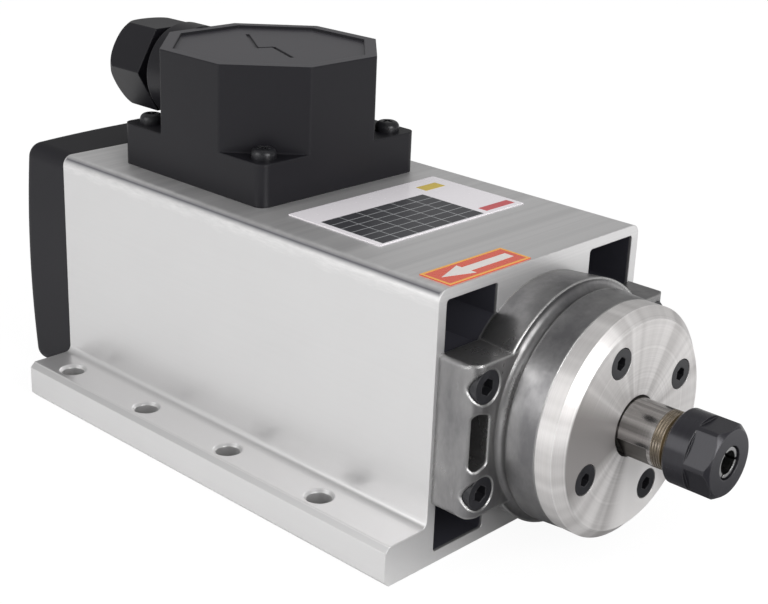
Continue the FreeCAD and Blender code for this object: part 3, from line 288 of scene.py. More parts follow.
def across_axis(tree, parts, centre_height):
    """Vector from the spindle's axis, with Y first and the height second."""
    dz = math_node(tree, "SUBTRACT", (parts, "Z"), centre_height)
    flat = tree.nodes.new("ShaderNodeCombineXYZ")
    join(tree, parts, "Y", flat, "X")
    join(tree, dz, 0, flat, "Y")
    return flat


def axis_radius(tree):
    """Nodes that give X and the distance from the spindle's axis."""
    parts = split_place(tree)
    flat = across_axis(tree, parts, axis_z)
    return parts, vector_node(tree, "LENGTH", (flat, 0))


# Skins, each with a height for relief and a mottle for colour and roughness

SKIN = ("Height", "Mottle")


def length_grain_group():
    """Fine drawn lines that run along X."""
    tree, start, end = new_group("Length Grain", {"Scale": 900.0, "Stretch": 40.0}, SKIN)
    place = object_place(tree)
    along = math_node(tree, "DIVIDE", (start, "Scale"), (start, "Stretch"))
    scale = tree.nodes.new("ShaderNodeCombineXYZ")
    join(tree, along, 0, scale, "X")
    join(tree, start, "Scale", scale, "Y")
    join(tree, start, "Scale", scale, "Z")
    stretched = vector_node(tree, "MULTIPLY", place, (scale, 0))
    lines = noise(tree, (stretched, 0), 1.0, 4.0, 0.6)
    blast = noise(tree, place, 2600.0, 2.0, 0.6)
    both = math_node(tree, "MULTIPLY_ADD", (blast, "Fac"), 0.6, (lines, "Fac"))
    clouds = noise(tree, place, 38.0, 3.0, 0.55)
    mixed = math_node(tree, "MULTIPLY", (lines, "Fac"), 0.45)
    total = math_node(tree, "MULTIPLY_ADD", (clouds, "Fac"), 0.55, (mixed, 0))
    join(tree, both, 0, end, "Height")
    join(tree, total, 0, end, "Mottle")
    return tree


def turned_rings_group():
    """Tool marks round a line along X through the centre height, mixed with light and dark sectors round that
    line that are painted reflection.
    """
    tree, start, end = new_group(
        "Turned Rings", {"Scale": 2600.0, "Centre Height": axis_z, "Sectors": 0.5}, SKIN)
    parts = split_place(tree)
    flat = across_axis(tree, parts, (start, "Centre Height"))
    radius = vector_node(tree, "LENGTH", (flat, 0))
    marks = tree.nodes.new("ShaderNodeCombineXYZ")
    join(tree, radius, "Value", marks, "X")
    join(tree, parts, "X", marks, "Y")
    scaled = vector_node(tree, "SCALE", (marks, 0))
    join(tree, start, "Scale", scaled, "Scale")
    fine = noise(tree, (scaled, 0), 1.0, 3.0, 0.65)
    # Sectors by direction round the axis: painted reflection of light and dark surroundings, which every
    # turned material gets.
    around = vector_node(tree, "NORMALIZE", (flat, 0))
    sectors = noise(tree, (around, 0), 2.1, 3.0, 0.6)
    contrast = ramp(tree, (sectors, "Fac"), 0.36, 0.64)
    mixed = add_node(tree, "ShaderNodeMix", data_type="FLOAT")
    join(tree, start, "Sectors", mixed, "Factor")
    join(tree, fine, "Fac", mixed, "A")
    join(tree, contrast, 0, mixed, "B")
    join(tree, fine, "Fac", end, "Height")
    join(tree, mixed, 0, end, "Mottle")
    return tree


def cast_skin_group():
    """Soft lumps and fine pits of a die casting."""
    tree, start, end = new_group("Cast Skin", {"Scale": 700.0, "Patches": 90.0}, SKIN)
    place = object_place(tree)
    lumps = noise(tree, place, (start, "Scale"), 4.0, 0.6)
    pits = add_node(tree, "ShaderNodeTexVoronoi", feature="F1")
    feed(tree, place, pits, "Vector")
    pit_scale = math_node(tree, "MULTIPLY", (start, "Scale"), 1.7)
    join(tree, pit_scale, 0, pits, "Scale")
    height = math_node(tree, "MULTIPLY_ADD", (pits, "Distance"), 0.5, (lumps, "Fac"))
    drawn = stretched_place(tree, (1.0, 1.0, 0.4))
    patches = noise(tree, (drawn, 0), (start, "Patches"), 5.0, 0.66)
    wide = ramp(tree, (patches, "Fac"), 0.34, 0.66)
    join(tree, height, 0, end, "Height")
    join(tree, wide, 0, end, "Mottle")
    return tree


def moulded_skin_group():
    """Even spark-eroded texture of a moulded part."""
    tree, start, end = new_group("Moulded Skin", {"Scale": 2400.0}, SKIN)
    place = object_place(tree)
    spark = noise(tree, place, (start, "Scale"), 2.0, 0.7)
    flow = noise(tree, place, 30.0, 2.0, 0.5)
    join(tree, spark, "Fac", end, "Height")
    join(tree, flow, "Fac", end, "Mottle")
    return tree


def film_group():
    """Slight ripple and soiling of a printed film."""
    tree, start, end = new_group("Printed Film", {"Scale": 160.0}, SKIN)
    place = object_place(tree)
    ripple = noise(tree, place, (start, "Scale"), 2.0, 0.4)
    soil = noise(tree, place, 520.0, 4.0, 0.65)
    join(tree, ripple, "Fac", end, "Height")
    join(tree, soil, "Fac", end, "Mottle")
    return tree


# Wear and painted highlights of edges, and wear of faces

def soft_edge_group():
    """Rounded normal and a mask of the edges, which carry wear colour and painted highlight."""
    tree, start, end = new_group("Soft Edge", {"Radius": 0.0005}, ("Normal", "Edge"))
    round_normal = add_node(tree, "ShaderNodeBevel", samples=4)
    join(tree, start, "Radius", round_normal, "Radius")
    shape = tree.nodes.new("ShaderNodeNewGeometry")
    agreement = vector_node(tree, "DOT_PRODUCT", (round_normal, 0), (shape, "Normal"))
    mask = ramp(tree, (agreement, "Value"), 0.995, 0.86)
    join(tree, round_normal, 0, end, "Normal")
    join(tree, mask, 0, end, "Edge")
    return tree


def wear_group():
    """Handling marks: broad dull clouds and a few fine scratches."""
    tree, start, end = new_group("Handling Marks", {"Scale": 60.0, "Scratches": 0.3}, ("Marks",))
    clouds = noise(tree, object_place(tree), (start, "Scale"), 5.0, 0.6)
    turned = stretched_place(tree, (60.0, 2200.0, 900.0), (0.3, 0.5, 0.7))
    lines = noise(tree, (turned, 0), 1.0, 1.0, 0.5)
    thin = ramp(tree, (lines, "Fac"), 0.72, 0.80)
    scratch = math_node(tree, "MULTIPLY", (thin, 0), (start, "Scratches"))
    wide = ramp(tree, (clouds, "Fac"), 0.35, 0.65)
    total = math_node(tree, "MAXIMUM", (wide, 0), (scratch, 0))
    join(tree, total, 0, end, "Marks")
    return tree


# Masks of single zones, in metres

def edge_band_group():
    """Mask of the rubbed band on the side faces, under the two long top edges of the body."""
    tree, start, end = new_group("Long Edge Band", {"Top": body_high.z, "Reach": 0.006}, ("Mask",))
    parts = split_place(tree)
    from_top = math_node(tree, "SUBTRACT", (start, "Top"), (parts, "Z"))
    share = math_node(tree, "DIVIDE", (from_top, 0), (start, "Reach"))
    wander = stretched_place(tree, (70.0, 1.0, 260.0))
    ragged = noise(tree, (wander, 0), 1.0, 4.0, 0.7)
    moved = math_node(tree, "MULTIPLY_ADD", (ragged, "Fac"), 1.3, (share, 0))
    band = ramp(tree, (moved, 0), 1.5, 1.1)
    rubs = stretched_place(tree, (260.0, 1.0, 1500.0), (0.0, 0.35, 0.0))
    streaks = noise(tree, (rubs, 0), 1.0, 4.0, 0.7)
    strong = ramp(tree, (streaks, "Fac"), 0.30, 0.62)
    mask = math_node(tree, "MULTIPLY", (band, 0), (strong, 0))
    join(tree, mask, 0, end, "Mask")
    return tree


def channel_shade_group():
    """Mask of the faces that lie inside the body's section, where shade is painted."""
    tree, start, end = new_group(
        "Channel Inside",
        {"Half Width": BODY_HALF_WIDTH, "Top": body_high.z, "Front": body_high.x, "Rear": body_low.x,
         "Depth": 0.001},
        ("Mask",))
    parts = split_place(tree)
    side = math_node(tree, "ABSOLUTE", (parts, "Y"))
    from_side = math_node(tree, "SUBTRACT", (start, "Half Width"), (side, 0))
    from_top = math_node(tree, "SUBTRACT", (start, "Top"), (parts, "Z"))
    from_front = math_node(tree, "SUBTRACT", (start, "Front"), (parts, "X"))
    from_rear = math_node(tree, "SUBTRACT", (parts, "X"), (start, "Rear"))
    nearest = (parts, "Z")
    for distance in (from_side, from_top, from_front, from_rear):
        nearest = (math_node(tree, "MINIMUM", nearest, (distance, 0)), 0)
    share = math_node(tree, "DIVIDE", nearest, (start, "Depth"))
    mask = ramp(tree, (share, 0), 0.15, 1.0)
    join(tree, mask, 0, end, "Mask")
    return tree


def flange_top_group():
    """Mask of the upper faces of the two mounting flanges, where light is painted."""
    tree, start, end = new_group(
        "Flange Top", {"Height": FLANGE_THICKNESS, "Half Width": BODY_HALF_WIDTH}, ("Mask",))
    parts = split_place(tree)
    side = math_node(tree, "ABSOLUTE", (parts, "Y"))
    beyond = math_node(tree, "SUBTRACT", (side, 0), (start, "Half Width"))
    outside = ramp(tree, (beyond, 0), 0.001, 0.003)
    rise = math_node(tree, "SUBTRACT", (parts, "Z"), (start, "Height"))
    upper = ramp(tree, (rise, 0), -0.0004, -0.0001)
    mask = math_node(tree, "MULTIPLY", (outside, 0), (upper, 0))
    join(tree, mask, 0, end, "Mask")
    return tree


def lid_face_group():
    """Mask of the upward faces near the top of the terminal box."""
    tree, start, end = new_group("Lid Face", {"Height": box_high.z}, ("Mask",))
    parts = split_place(tree)
    rise = math_node(tree, "SUBTRACT", (parts, "Z"), (start, "Height"))
    high = ramp(tree, (rise, 0), -0.0026, -0.0018)
    shape = tree.nodes.new("ShaderNodeNewGeometry")
    normal = tree.nodes.new("ShaderNodeSeparateXYZ")
    join(tree, shape, "Normal", normal, 0)
    upward = ramp(tree, (normal, "Z"), 0.6, 0.8)
    mask = math_node(tree, "MULTIPLY", (high, 0), (upward, 0))
    join(tree, mask, 0, end, "Mask")
    return tree


def reflection_sector_group():
    """Soft mask of the sector of the cap's flat face that lies towards one side, in Y and Z, where a painted
    reflection goes.
    """
    tree, start, end = new_group(
        "Turned Sector", {"Towards": (-1.0, 0.0, 0.0), "Begin": 0.86, "Face": cap_high.x}, ("Mask",))
    parts = split_place(tree)
    flat = across_axis(tree, parts, axis_z)
    around = vector_node(tree, "NORMALIZE", (flat, 0))
    side = vector_node(tree, "NORMALIZE", (start, "Towards"))
    facing = vector_node(tree, "DOT_PRODUCT", (around, 0), (side, 0))
    over = math_node(tree, "SUBTRACT", (facing, "Value"), (start, "Begin"))
    wedge = ramp(tree, (over, 0), 0.0, 0.13)
    behind = math_node(tree, "SUBTRACT", (parts, "X"), (start, "Face"))
    on_face = ramp(tree, (behind, 0), -0.0003, -0.0001)
    mask = math_node(tree, "MULTIPLY", (wedge, 0), (on_face, 0))
    join(tree, mask, 0, end, "Mask")
    return tree


def milled_flat_group():
    """Mask of the flats of the nose, which lie inside its round."""
    tree, start, end = new_group(
        "Milled Flat", {"Round": NOSE_RADIUS, "Rear": cap_high.x, "Front": nut_low.x}, ("Mask",))
    parts, radius = axis_radius(tree)
    inside = math_node(tree, "SUBTRACT", (start, "Round"), (radius, "Value"))
    deep = ramp(tree, (inside, 0), 0.00003, 0.00009)
    after = math_node(tree, "GREATER_THAN", (parts, "X"), (start, "Rear"))
    before = math_node(tree, "LESS_THAN", (parts, "X"), (start, "Front"))
    both = math_node(tree, "MULTIPLY", (after, 0), (before, 0))
    mask = math_node(tree, "MULTIPLY", (both, 0), (deep, 0))
    join(tree, mask, 0, end, "Mask")
    return tree


def thread_group():
    """Mask and ridges of the thread at the front end of the shaft."""
    tree, start, end = new_group(
        "Nose Thread", {"Pitch": 0.00075, "Rear": nut_low.x, "Bore": THREAD_INNER_RADIUS}, ("Mask", "Height"))
    parts, radius = axis_radius(tree)
    after = math_node(tree, "GREATER_THAN", (parts, "X"), (start, "Rear"))
    outside = math_node(tree, "GREATER_THAN", (radius, "Value"), (start, "Bore"))
    mask = math_node(tree, "MULTIPLY", (after, 0), (outside, 0))
    turns = math_node(tree, "DIVIDE", (parts, "X"), (start, "Pitch"))
    ridge = math_node(tree, "PINGPONG", (turns, 0), 0.5)
    height = math_node(tree, "MULTIPLY", (ridge, 0), (mask, 0))
    join(tree, mask, 0, end, "Mask")
    join(tree, height, 0, end, "Height")
    return tree


MAKERS = {"grain": length_grain_group, "rings": turned_rings_group, "cast": cast_skin_group,
          "moulded": moulded_skin_group, "film": film_group, "edge": soft_edge_group,
          "wear": wear_group, "band": edge_band_group, "channel": channel_shade_group,
          "lid": lid_face_group, "sector": reflection_sector_group, "flange_top_light": flange_top_group,
          "flat": milled_flat_group, "thread": thread_group}
effects = {}


def place_effect(tree, name, values=None):
    """Place a shared effect, which is made the first time that it is asked for."""
    if name not in effects:
        effects[name] = MAKERS[name]()
    node = add_node(tree, "ShaderNodeGroup", node_tree=effects[name])
    for key, value in (values or {}).items():
        node.inputs[key].default_value = value
    return node


def mix_colour(tree, factor, a, b):
    """Mix of two colours, each a plain colour or a (node, output) pair."""
    node = add_node(tree, "ShaderNodeMix", data_type="RGBA")
    feed(tree, factor, node, 0)
    for slot, value in ((6, a), (7, b)):
        if len(value) == 2:
            join(tree, value[0], value[1], node, slot)
        else:
            node.inputs[slot].default_value = (*value, 1.0)
    return node


# Output of a colour Mix node that holds its result

RESULT = 2


def zone(kind, tint, share=1.0, roughness=None, relief=0.0, values=None):
    """Part of a surface that a mask picks out, with its own colour, roughness and relief in mm."""
    return {"kind": kind, "tint": tint, "share": share, "roughness": roughness, "relief": relief,
            "values": values}


def surface(name, skin, light, dark, roughness, metallic=0.0, skin_values=None, bump=0.2, depth=0.02,
            edge=0.4, edge_colour=None, edge_amount=0.5, marks=0.15, scratches=0.2, coat=0.0,
            anisotropic=0.0, specular=0.5, zones=()):
    """Material with a skin pattern, lightened edges for wear and painted highlight, handling marks and
    relief. Depth and edge are in mm.
    """
    material = bpy.data.materials.new(name)
    material.use_nodes = True
    tree = material.node_tree
    tree.nodes.clear()
    out = tree.nodes.new("ShaderNodeOutputMaterial")
    shader = add_node(tree, "ShaderNodeBsdfPrincipled",
                      {"Metallic": metallic, "Coat Weight": coat, "Coat Roughness": 0.12,
                       "Anisotropic": anisotropic, "Specular IOR Level": specular})
    join(tree, shader, 0, out, 0)
    pattern = place_effect(tree, skin, skin_values)
    wear = place_effect(tree, "wear", {"Scratches": scratches})
    rim = place_effect(tree, "edge", {"Radius": edge * MM})
    base = mix_colour(tree, (pattern, "Mottle"), dark, light)
    dulled = tuple(c * (1.0 - marks) for c in light)
    mark_share = math_node(tree, "MULTIPLY", (wear, "Marks"), marks)
    marked = mix_colour(tree, (mark_share, 0), (base, RESULT), dulled)
    # Lightened edges: wear, and a painted highlight where the edge colour is bright, as on the castings.
    rim_share = math_node(tree, "MULTIPLY", (rim, "Edge"), edge_amount)
    top_colour = edge_colour or tuple(min(1.0, c * 1.25) for c in light)
    edge_wear_and_highlight = mix_colour(tree, (rim_share, 0), (marked, RESULT), top_colour)
    rough = add_node(tree, "ShaderNodeMapRange", {"From Min": 0.0, "From Max": 1.0,
                                                  "To Min": roughness[1], "To Max": roughness[0]})
    join(tree, pattern, "Mottle", rough, "Value")
    relief = add_node(tree, "ShaderNodeBump", {"Strength": bump, "Distance": depth * MM})
    join(tree, pattern, "Height", relief, "Height")
    join(tree, rim, "Normal", relief, "Normal")
    last_colour = (edge_wear_and_highlight, RESULT)
    last_rough = (rough, 0)
    last_normal = (relief, "Normal")
    for part in zones:
        mask = place_effect(tree, part["kind"], part["values"])
        share = math_node(tree, "MULTIPLY", (mask, "Mask"), part["share"])
        last_colour = (mix_colour(tree, (share, 0), last_colour, part["tint"]), RESULT)
        if part["roughness"] is not None:
            blend = add_node(tree, "ShaderNodeMix", {"B": part["roughness"]}, data_type="FLOAT")
            join(tree, share, 0, blend, "Factor")
            feed(tree, last_rough, blend, "A")
            last_rough = (blend, 0)
        if part["relief"]:
            ridges = add_node(tree, "ShaderNodeBump", {"Strength": 1.0, "Distance": part["relief"] * MM})
            join(tree, mask, "Height", ridges, "Height")
            feed(tree, last_normal, ridges, "Normal")
            last_normal = (ridges, "Normal")
    feed(tree, last_colour, shader, "Base Color")
    feed(tree, last_rough, shader, "Roughness")
    feed(tree, last_normal, shader, "Normal")
    if anisotropic:
        tangent = add_node(tree, "ShaderNodeTangent", direction_type="RADIAL", axis="X")
        join(tree, tangent, 0, shader, "Tangent")
    return material


def film_ink(name, light, dark, roughness=(0.25, 0.4), **extra):
    """Printed colour on a film."""
    return surface(name, "film", light, dark, roughness, bump=0.1, depth=0.05, edge=0.05,
                   edge_amount=0.1, **extra)


def dress(names, material):
    """Give CAD nodes their material."""
    for name in names:
        slots = nodes[name].data.materials
        slots.clear()
        slots.append(material)


# Mesh helpers

def finish_piece(mesh, name, body, materials):
    """Turn a bmesh into a piece of the motor that rides on a body."""
    data = bpy.data.meshes.new(name)
    mesh.to_mesh(data)
    mesh.free()
    for material in materials:
        data.materials.append(material)
    piece = bpy.data.objects.new(name, data)
    bpy.context.scene.collection.objects.link(piece)
    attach(piece, body)
    return piece


def film_sheet(mesh, low_x, high_x, low_y, high_y, z, columns=1, rows=1):
    """Flat grid between two corners at a height, with rows along X and columns along Y."""
    made = bmesh.ops.create_grid(mesh, x_segments=rows, y_segments=columns, size=0.5)
    verts = made["verts"]
    bmesh.ops.scale(mesh, vec=(high_x - low_x, high_y - low_y, 1.0), verts=verts)
    bmesh.ops.translate(mesh, vec=((low_x + high_x) / 2.0, (low_y + high_y) / 2.0, z), verts=verts)


def thicken(mesh, rise):
    """Extrude all faces of a flat sheet upwards into a closed film."""
    faces = list(mesh.faces)
    made = bmesh.ops.extrude_face_region(mesh, geom=faces, use_keep_orig=True)
    moved = [item for item in made["geom"] if isinstance(item, bmesh.types.BMVert)]
    bmesh.ops.translate(mesh, vec=(0.0, 0.0, rise), verts=moved)
    bmesh.ops.recalc_face_normals(mesh, faces=list(mesh.faces))


# Operators

class SPINDLE_OT_housing(bpy.types.Operator):
    """Finish the extruded body, with its grain and broken long edges"""

    bl_idname = "spindle.housing"
    bl_label = "Housing Finish"

    def execute(self, context):
        tint = context.scene.spindle_colours
        satin = surface("Satin Extrusion", "grain", tuple(tint.extrusion), tuple(tint.extrusion_shade),
                        (0.34, 0.44), metallic=0.8, bump=0.12, depth=0.02, edge=0.35, edge_amount=0.35,
                        edge_colour=tuple(tint.burr), marks=0.06, scratches=0.3,
                        zones=(zone("band", tuple(tint.burr), 0.65, 0.5),
                               # Painted light on the flange tops.
                               zone("flange_top_light", tuple(tint.flange_top_light), 0.8, 0.30),
                               # Painted shade on the faces inside the body's channels.
                               zone("channel", tuple(tint.channel), 1.0, 0.8)))
        dress(["motor_housing"], satin)
        return {"FINISHED"}


class SPINDLE_OT_castings(bpy.types.Operator):
    """Finish the cast end bells"""

    bl_idname = "spindle.castings"
    bl_label = "Casting Finish"

    def execute(self, context):
        tint = context.scene.spindle_colours
        # The light edge colour of the castings is a painted highlight on their rounded edges and ridge line.
        cast = surface("Cast Aluminium", "cast", tuple(tint.casting), tuple(tint.casting_shade),
                       (0.26, 0.42), metallic=0.9, skin_values={"Scale": 380.0, "Patches": 70.0},
                       bump=0.35, depth=0.10, edge=1.0, edge_amount=0.8,
                       edge_colour=(0.78, 0.78, 0.77), marks=0.30, scratches=0.3)
        dress(["front_end_bell", "rear_end_bell"], cast)
        return {"FINISHED"}


class SPINDLE_OT_cap(bpy.types.Operator):
    """Finish the bright turned cap"""

    bl_idname = "spindle.cap"
    bl_label = "Front Cap Finish"

    def execute(self, context):
        tint = context.scene.spindle_colours
        turned = surface("Turned Aluminium", "rings", tuple(tint.cap), tuple(tint.cap_marks_and_reflection),
                         (0.28, 0.38), metallic=0.45, skin_values={"Scale": 3200.0, "Sectors": 0.55},
                         bump=0.15, depth=0.012, edge=0.3, edge_amount=0.7, marks=0.06, scratches=0.2,
                         anisotropic=0.6,
                         # Both sector zones are painted reflection on the cap's flat face: a dark one towards
                         # -Y and a light one below the axis.
                         zones=(zone("sector", tuple(tint.cap_marks_and_reflection), 1.0, values={"Begin": 0.80}),
                                zone("sector", tuple(tint.cap), 1.0,
                                     values={"Towards": (0.2, -1.0, 0.0), "Begin": 0.84})))
        dress(["front_cap"], turned)
        return {"FINISHED"}


class SPINDLE_OT_mouldings(bpy.types.Operator):
    """Finish the black mouldings: cover, terminal box, gland and fan"""

    bl_idname = "spindle.mouldings"
    bl_label = "Moulding Finish"

    def execute(self, context):
        tint = context.scene.spindle_colours
        black = surface("Black Moulding", "moulded", tuple(tint.plastic), tuple(tint.plastic_shade),
                        (0.36, 0.46), bump=0.10, depth=0.03, edge=0.8, edge_amount=0.25,
                        edge_colour=(0.05, 0.05, 0.056), marks=0.2, scratches=0.3, specular=0.25,
                        zones=(zone("lid", tuple(tint.lid), 1.0, 0.34),))
        dress(["terminal_box"], black)
        nylon = surface("Gland Moulding", "moulded", tuple(tint.plastic), tuple(tint.plastic_shade),
                        (0.30, 0.40), bump=0.08, depth=0.02, edge=0.5, edge_amount=0.35,
                        edge_colour=(0.06, 0.06, 0.066), marks=0.2, scratches=0.2, specular=0.3)
        dress(["gland_body", "gland_locknut", "gland_pressure_ring", "gland_cap_nut", "cooling_fan"], nylon)
        dull = surface("Cover Moulding", "moulded", tuple(c * 1.2 for c in tint.plastic), tuple(tint.plastic),
                       (0.50, 0.62), bump=0.2, depth=0.04, edge=1.0, edge_amount=0.25,
                       edge_colour=(0.05, 0.05, 0.055), marks=0.2, scratches=0.4, specular=0.28)
        dress(["fan_cover"], dull)
        rubber = surface("Black Rubber", "moulded", (0.020, 0.020, 0.020), (0.012, 0.012, 0.012),
                         (0.65, 0.8), bump=0.3, depth=0.03, edge=0.2, edge_amount=0.1)
        dress(["terminal_box_seal", "gland_seal"], rubber)
        return {"FINISHED"}


class SPINDLE_OT_screws(bpy.types.Operator):
    """Finish all black screws"""

    bl_idname = "spindle.screws"
    bl_label = "Screw Finish"

    def execute(self, context):
        tint = context.scene.spindle_colours
        oxide = surface("Black Oxide", "cast", tuple(tint.screw), tuple(c * 1.8 for c in tint.screw),
                        (0.26, 0.4), metallic=0.2, skin_values={"Scale": 1800.0, "Patches": 300.0},
                        bump=0.15, depth=0.02, edge=0.25, edge_amount=0.5,
                        edge_colour=(0.12, 0.12, 0.125), marks=0.2, scratches=0.2)
        dress(["front_bell_screws", "front_cap_screws", "rear_bell_screws", "fan_cover_screws",
               "terminal_box_screws", "fan_screw"], oxide)
        return {"FINISHED"}


class SPINDLE_OT_nose(bpy.types.Operator):
    """Finish the shaft, the collet and the collet nut"""

    bl_idname = "spindle.nose"
    bl_label = "Nose Finish"

    def execute(self, context):
        tint = context.scene.spindle_colours
        thread = context.scene.spindle_thread
        # The strong sector share paints light and dark reflection bands along the shaft.
        ground = surface("Ground Steel", "rings", tuple(tint.steel), tuple(tint.steel_marks_and_reflection),
                         (0.12, 0.24), metallic=1.0, skin_values={"Scale": 2400.0, "Sectors": 0.75},
                         bump=0.15, depth=0.012, edge=0.3, edge_amount=0.6, marks=0.2, scratches=0.6,
                         anisotropic=0.4,
                         zones=(zone("flat", tuple(tint.flat), 0.9, 0.35),
                                zone("thread", tuple(tint.thread), 0.6, 0.3, 0.4,
                                     {"Pitch": thread.pitch, "Rear": nut_low.x - thread.shown})))
        dress(["spindle_shaft"], ground)
        oxide = surface("Nut Black Oxide", "rings", tuple(tint.nut), tuple(c * 2.0 for c in tint.nut),
                        (0.20, 0.30), metallic=0.3, skin_values={"Scale": 2600.0, "Sectors": 0.2},
                        bump=0.10, depth=0.010, edge=0.35, edge_amount=0.5,
                        edge_colour=(0.13, 0.13, 0.135), marks=0.2, scratches=0.4)
        dress(["collet_nut"], oxide)
        bright = surface("Ground Collet", "rings", (0.62, 0.62, 0.62), (0.36, 0.36, 0.36),
                         (0.18, 0.3), metallic=1.0, skin_values={"Scale": 2600.0, "Sectors": 0.4},
                         bump=0.15, depth=0.01, edge=0.2, edge_amount=0.6)
        dress(["collet"], bright)
        return {"FINISHED"}


class SPINDLE_OT_inner_parts(bpy.types.Operator):
    """Finish the bearings, windings, stacks and terminals inside"""

    bl_idname = "spindle.inner_parts"
    bl_label = "Inner Part Finishes"

    def execute(self, context):
        bearing = surface("Bearing Steel", "rings", (0.66, 0.66, 0.67), (0.48, 0.48, 0.49), (0.08, 0.16),
                          metallic=1.0, bump=0.08, depth=0.01, edge=0.2, edge_amount=0.5, marks=0.05)
        dress([name for name in nodes if "bearing_outer" in name or "bearing_inner" in name
               or "bearing_balls" in name], bearing)
        brass = surface("Cage Brass", "rings", (0.60, 0.42, 0.16), (0.44, 0.30, 0.11), (0.25, 0.36),
                        metallic=1.0, bump=0.15, depth=0.02, edge=0.2, edge_amount=0.4)
        dress(["front_bearing_cages", "rear_bearing_cage", "terminal_screws"], brass)
        sheets = surface("Sheet Stack", "rings", (0.30, 0.30, 0.31), (0.16, 0.16, 0.17), (0.35, 0.5),
                         metallic=0.9, skin_values={"Scale": 2000.0, "Sectors": 0.1},
                         bump=0.6, depth=0.08, edge=0.2, edge_amount=0.4)
        dress(["stator_core", "rotor_core"], sheets)
        cage = surface("Die Cast Cage", "cast", (0.62, 0.62, 0.63), (0.45, 0.45, 0.46), (0.3, 0.45),
                       metallic=0.9, bump=0.25, depth=0.06, edge=0.4)
        dress(["rotor_cage"], cage)
        copper = surface("Varnished Copper", "grain", (0.50, 0.17, 0.06), (0.32, 0.10, 0.035), (0.22, 0.38),
                         metallic=0.8, skin_values={"Scale": 1400.0, "Stretch": 12.0},
                         bump=0.7, depth=0.25, edge=0.5, coat=0.5)
        dress(["stator_winding"], copper)
        sleeve = surface("Lead Sleeve", "moulded", (0.40, 0.035, 0.022), (0.30, 0.025, 0.016), (0.4, 0.55),
                         bump=0.1, depth=0.02, edge=0.2, edge_amount=0.1)
        dress(["phase_leads"], sleeve)
        spring = surface("Spring Steel", "rings", (0.36, 0.35, 0.34), (0.24, 0.23, 0.22), (0.2, 0.3),
                         metallic=1.0, bump=0.1, depth=0.01, edge=0.2)
        dress(["preload_washer"], spring)
        block = surface("Terminal Moulding", "moulded", (0.11, 0.11, 0.115), (0.08, 0.08, 0.085), (0.4, 0.55),
                        bump=0.15, depth=0.03, edge=0.4, edge_amount=0.3)
        dress(["terminal_block"], block)
        return {"FINISHED"}


class SPINDLE_OT_nose_thread(bpy.types.Operator):
    """Cut ridges of the thread that shows between the shaft's step and the nut"""

    bl_idname = "spindle.nose_thread"
    bl_label = "Nose Thread"

    def execute(self, context):
        thread = context.scene.spindle_thread
        tint = context.scene.spindle_colours
        inner = thread.root - 0.3 * MM
        start = shaft_high.x - thread.behind_front + thread.run_out
        finish = nut_low.x - 0.05 * MM
        points = [(start, inner), (start, thread.root)]
        x = start
        while x + thread.pitch <= finish + 1e-6:
            points.append((x + thread.pitch * 0.12, thread.root))
            points.append((x + thread.pitch * 0.45, thread.crest))
            points.append((x + thread.pitch * 0.57, thread.crest))
            points.append((x + thread.pitch * 0.90, thread.root))
            x += thread.pitch
        points.append((finish, thread.root))
        points.append((finish, inner))
        mesh = bmesh.new()
        verts = [mesh.verts.new((px, 0.0, axis_z + radius)) for px, radius in points]
        edges = [mesh.edges.new((verts[i - 1], verts[i])) for i in range(len(verts))]
        bmesh.ops.spin(mesh, geom=verts + edges, cent=(0.0, 0.0, axis_z), axis=(1.0, 0.0, 0.0),
                       angle=math.tau, steps=thread.steps, use_merge=True)
        bmesh.ops.remove_doubles(mesh, verts=list(mesh.verts), dist=1e-6)
        bmesh.ops.recalc_face_normals(mesh, faces=list(mesh.faces))
        for face in mesh.faces:
            face.smooth = True
        dirty = surface("Brassy Thread", "cast", tuple(tint.steel), tuple(tint.thread), (0.22, 0.42),
                        metallic=0.9, skin_values={"Scale": 900.0, "Patches": 380.0},
                        bump=0.3, depth=0.05, edge=0.15, edge_amount=0.9, marks=0.4,
                        edge_colour=(0.72, 0.66, 0.52))
        finish_piece(mesh, "nose_thread_ridges", "rotor", [dirty])
        return {"FINISHED"}


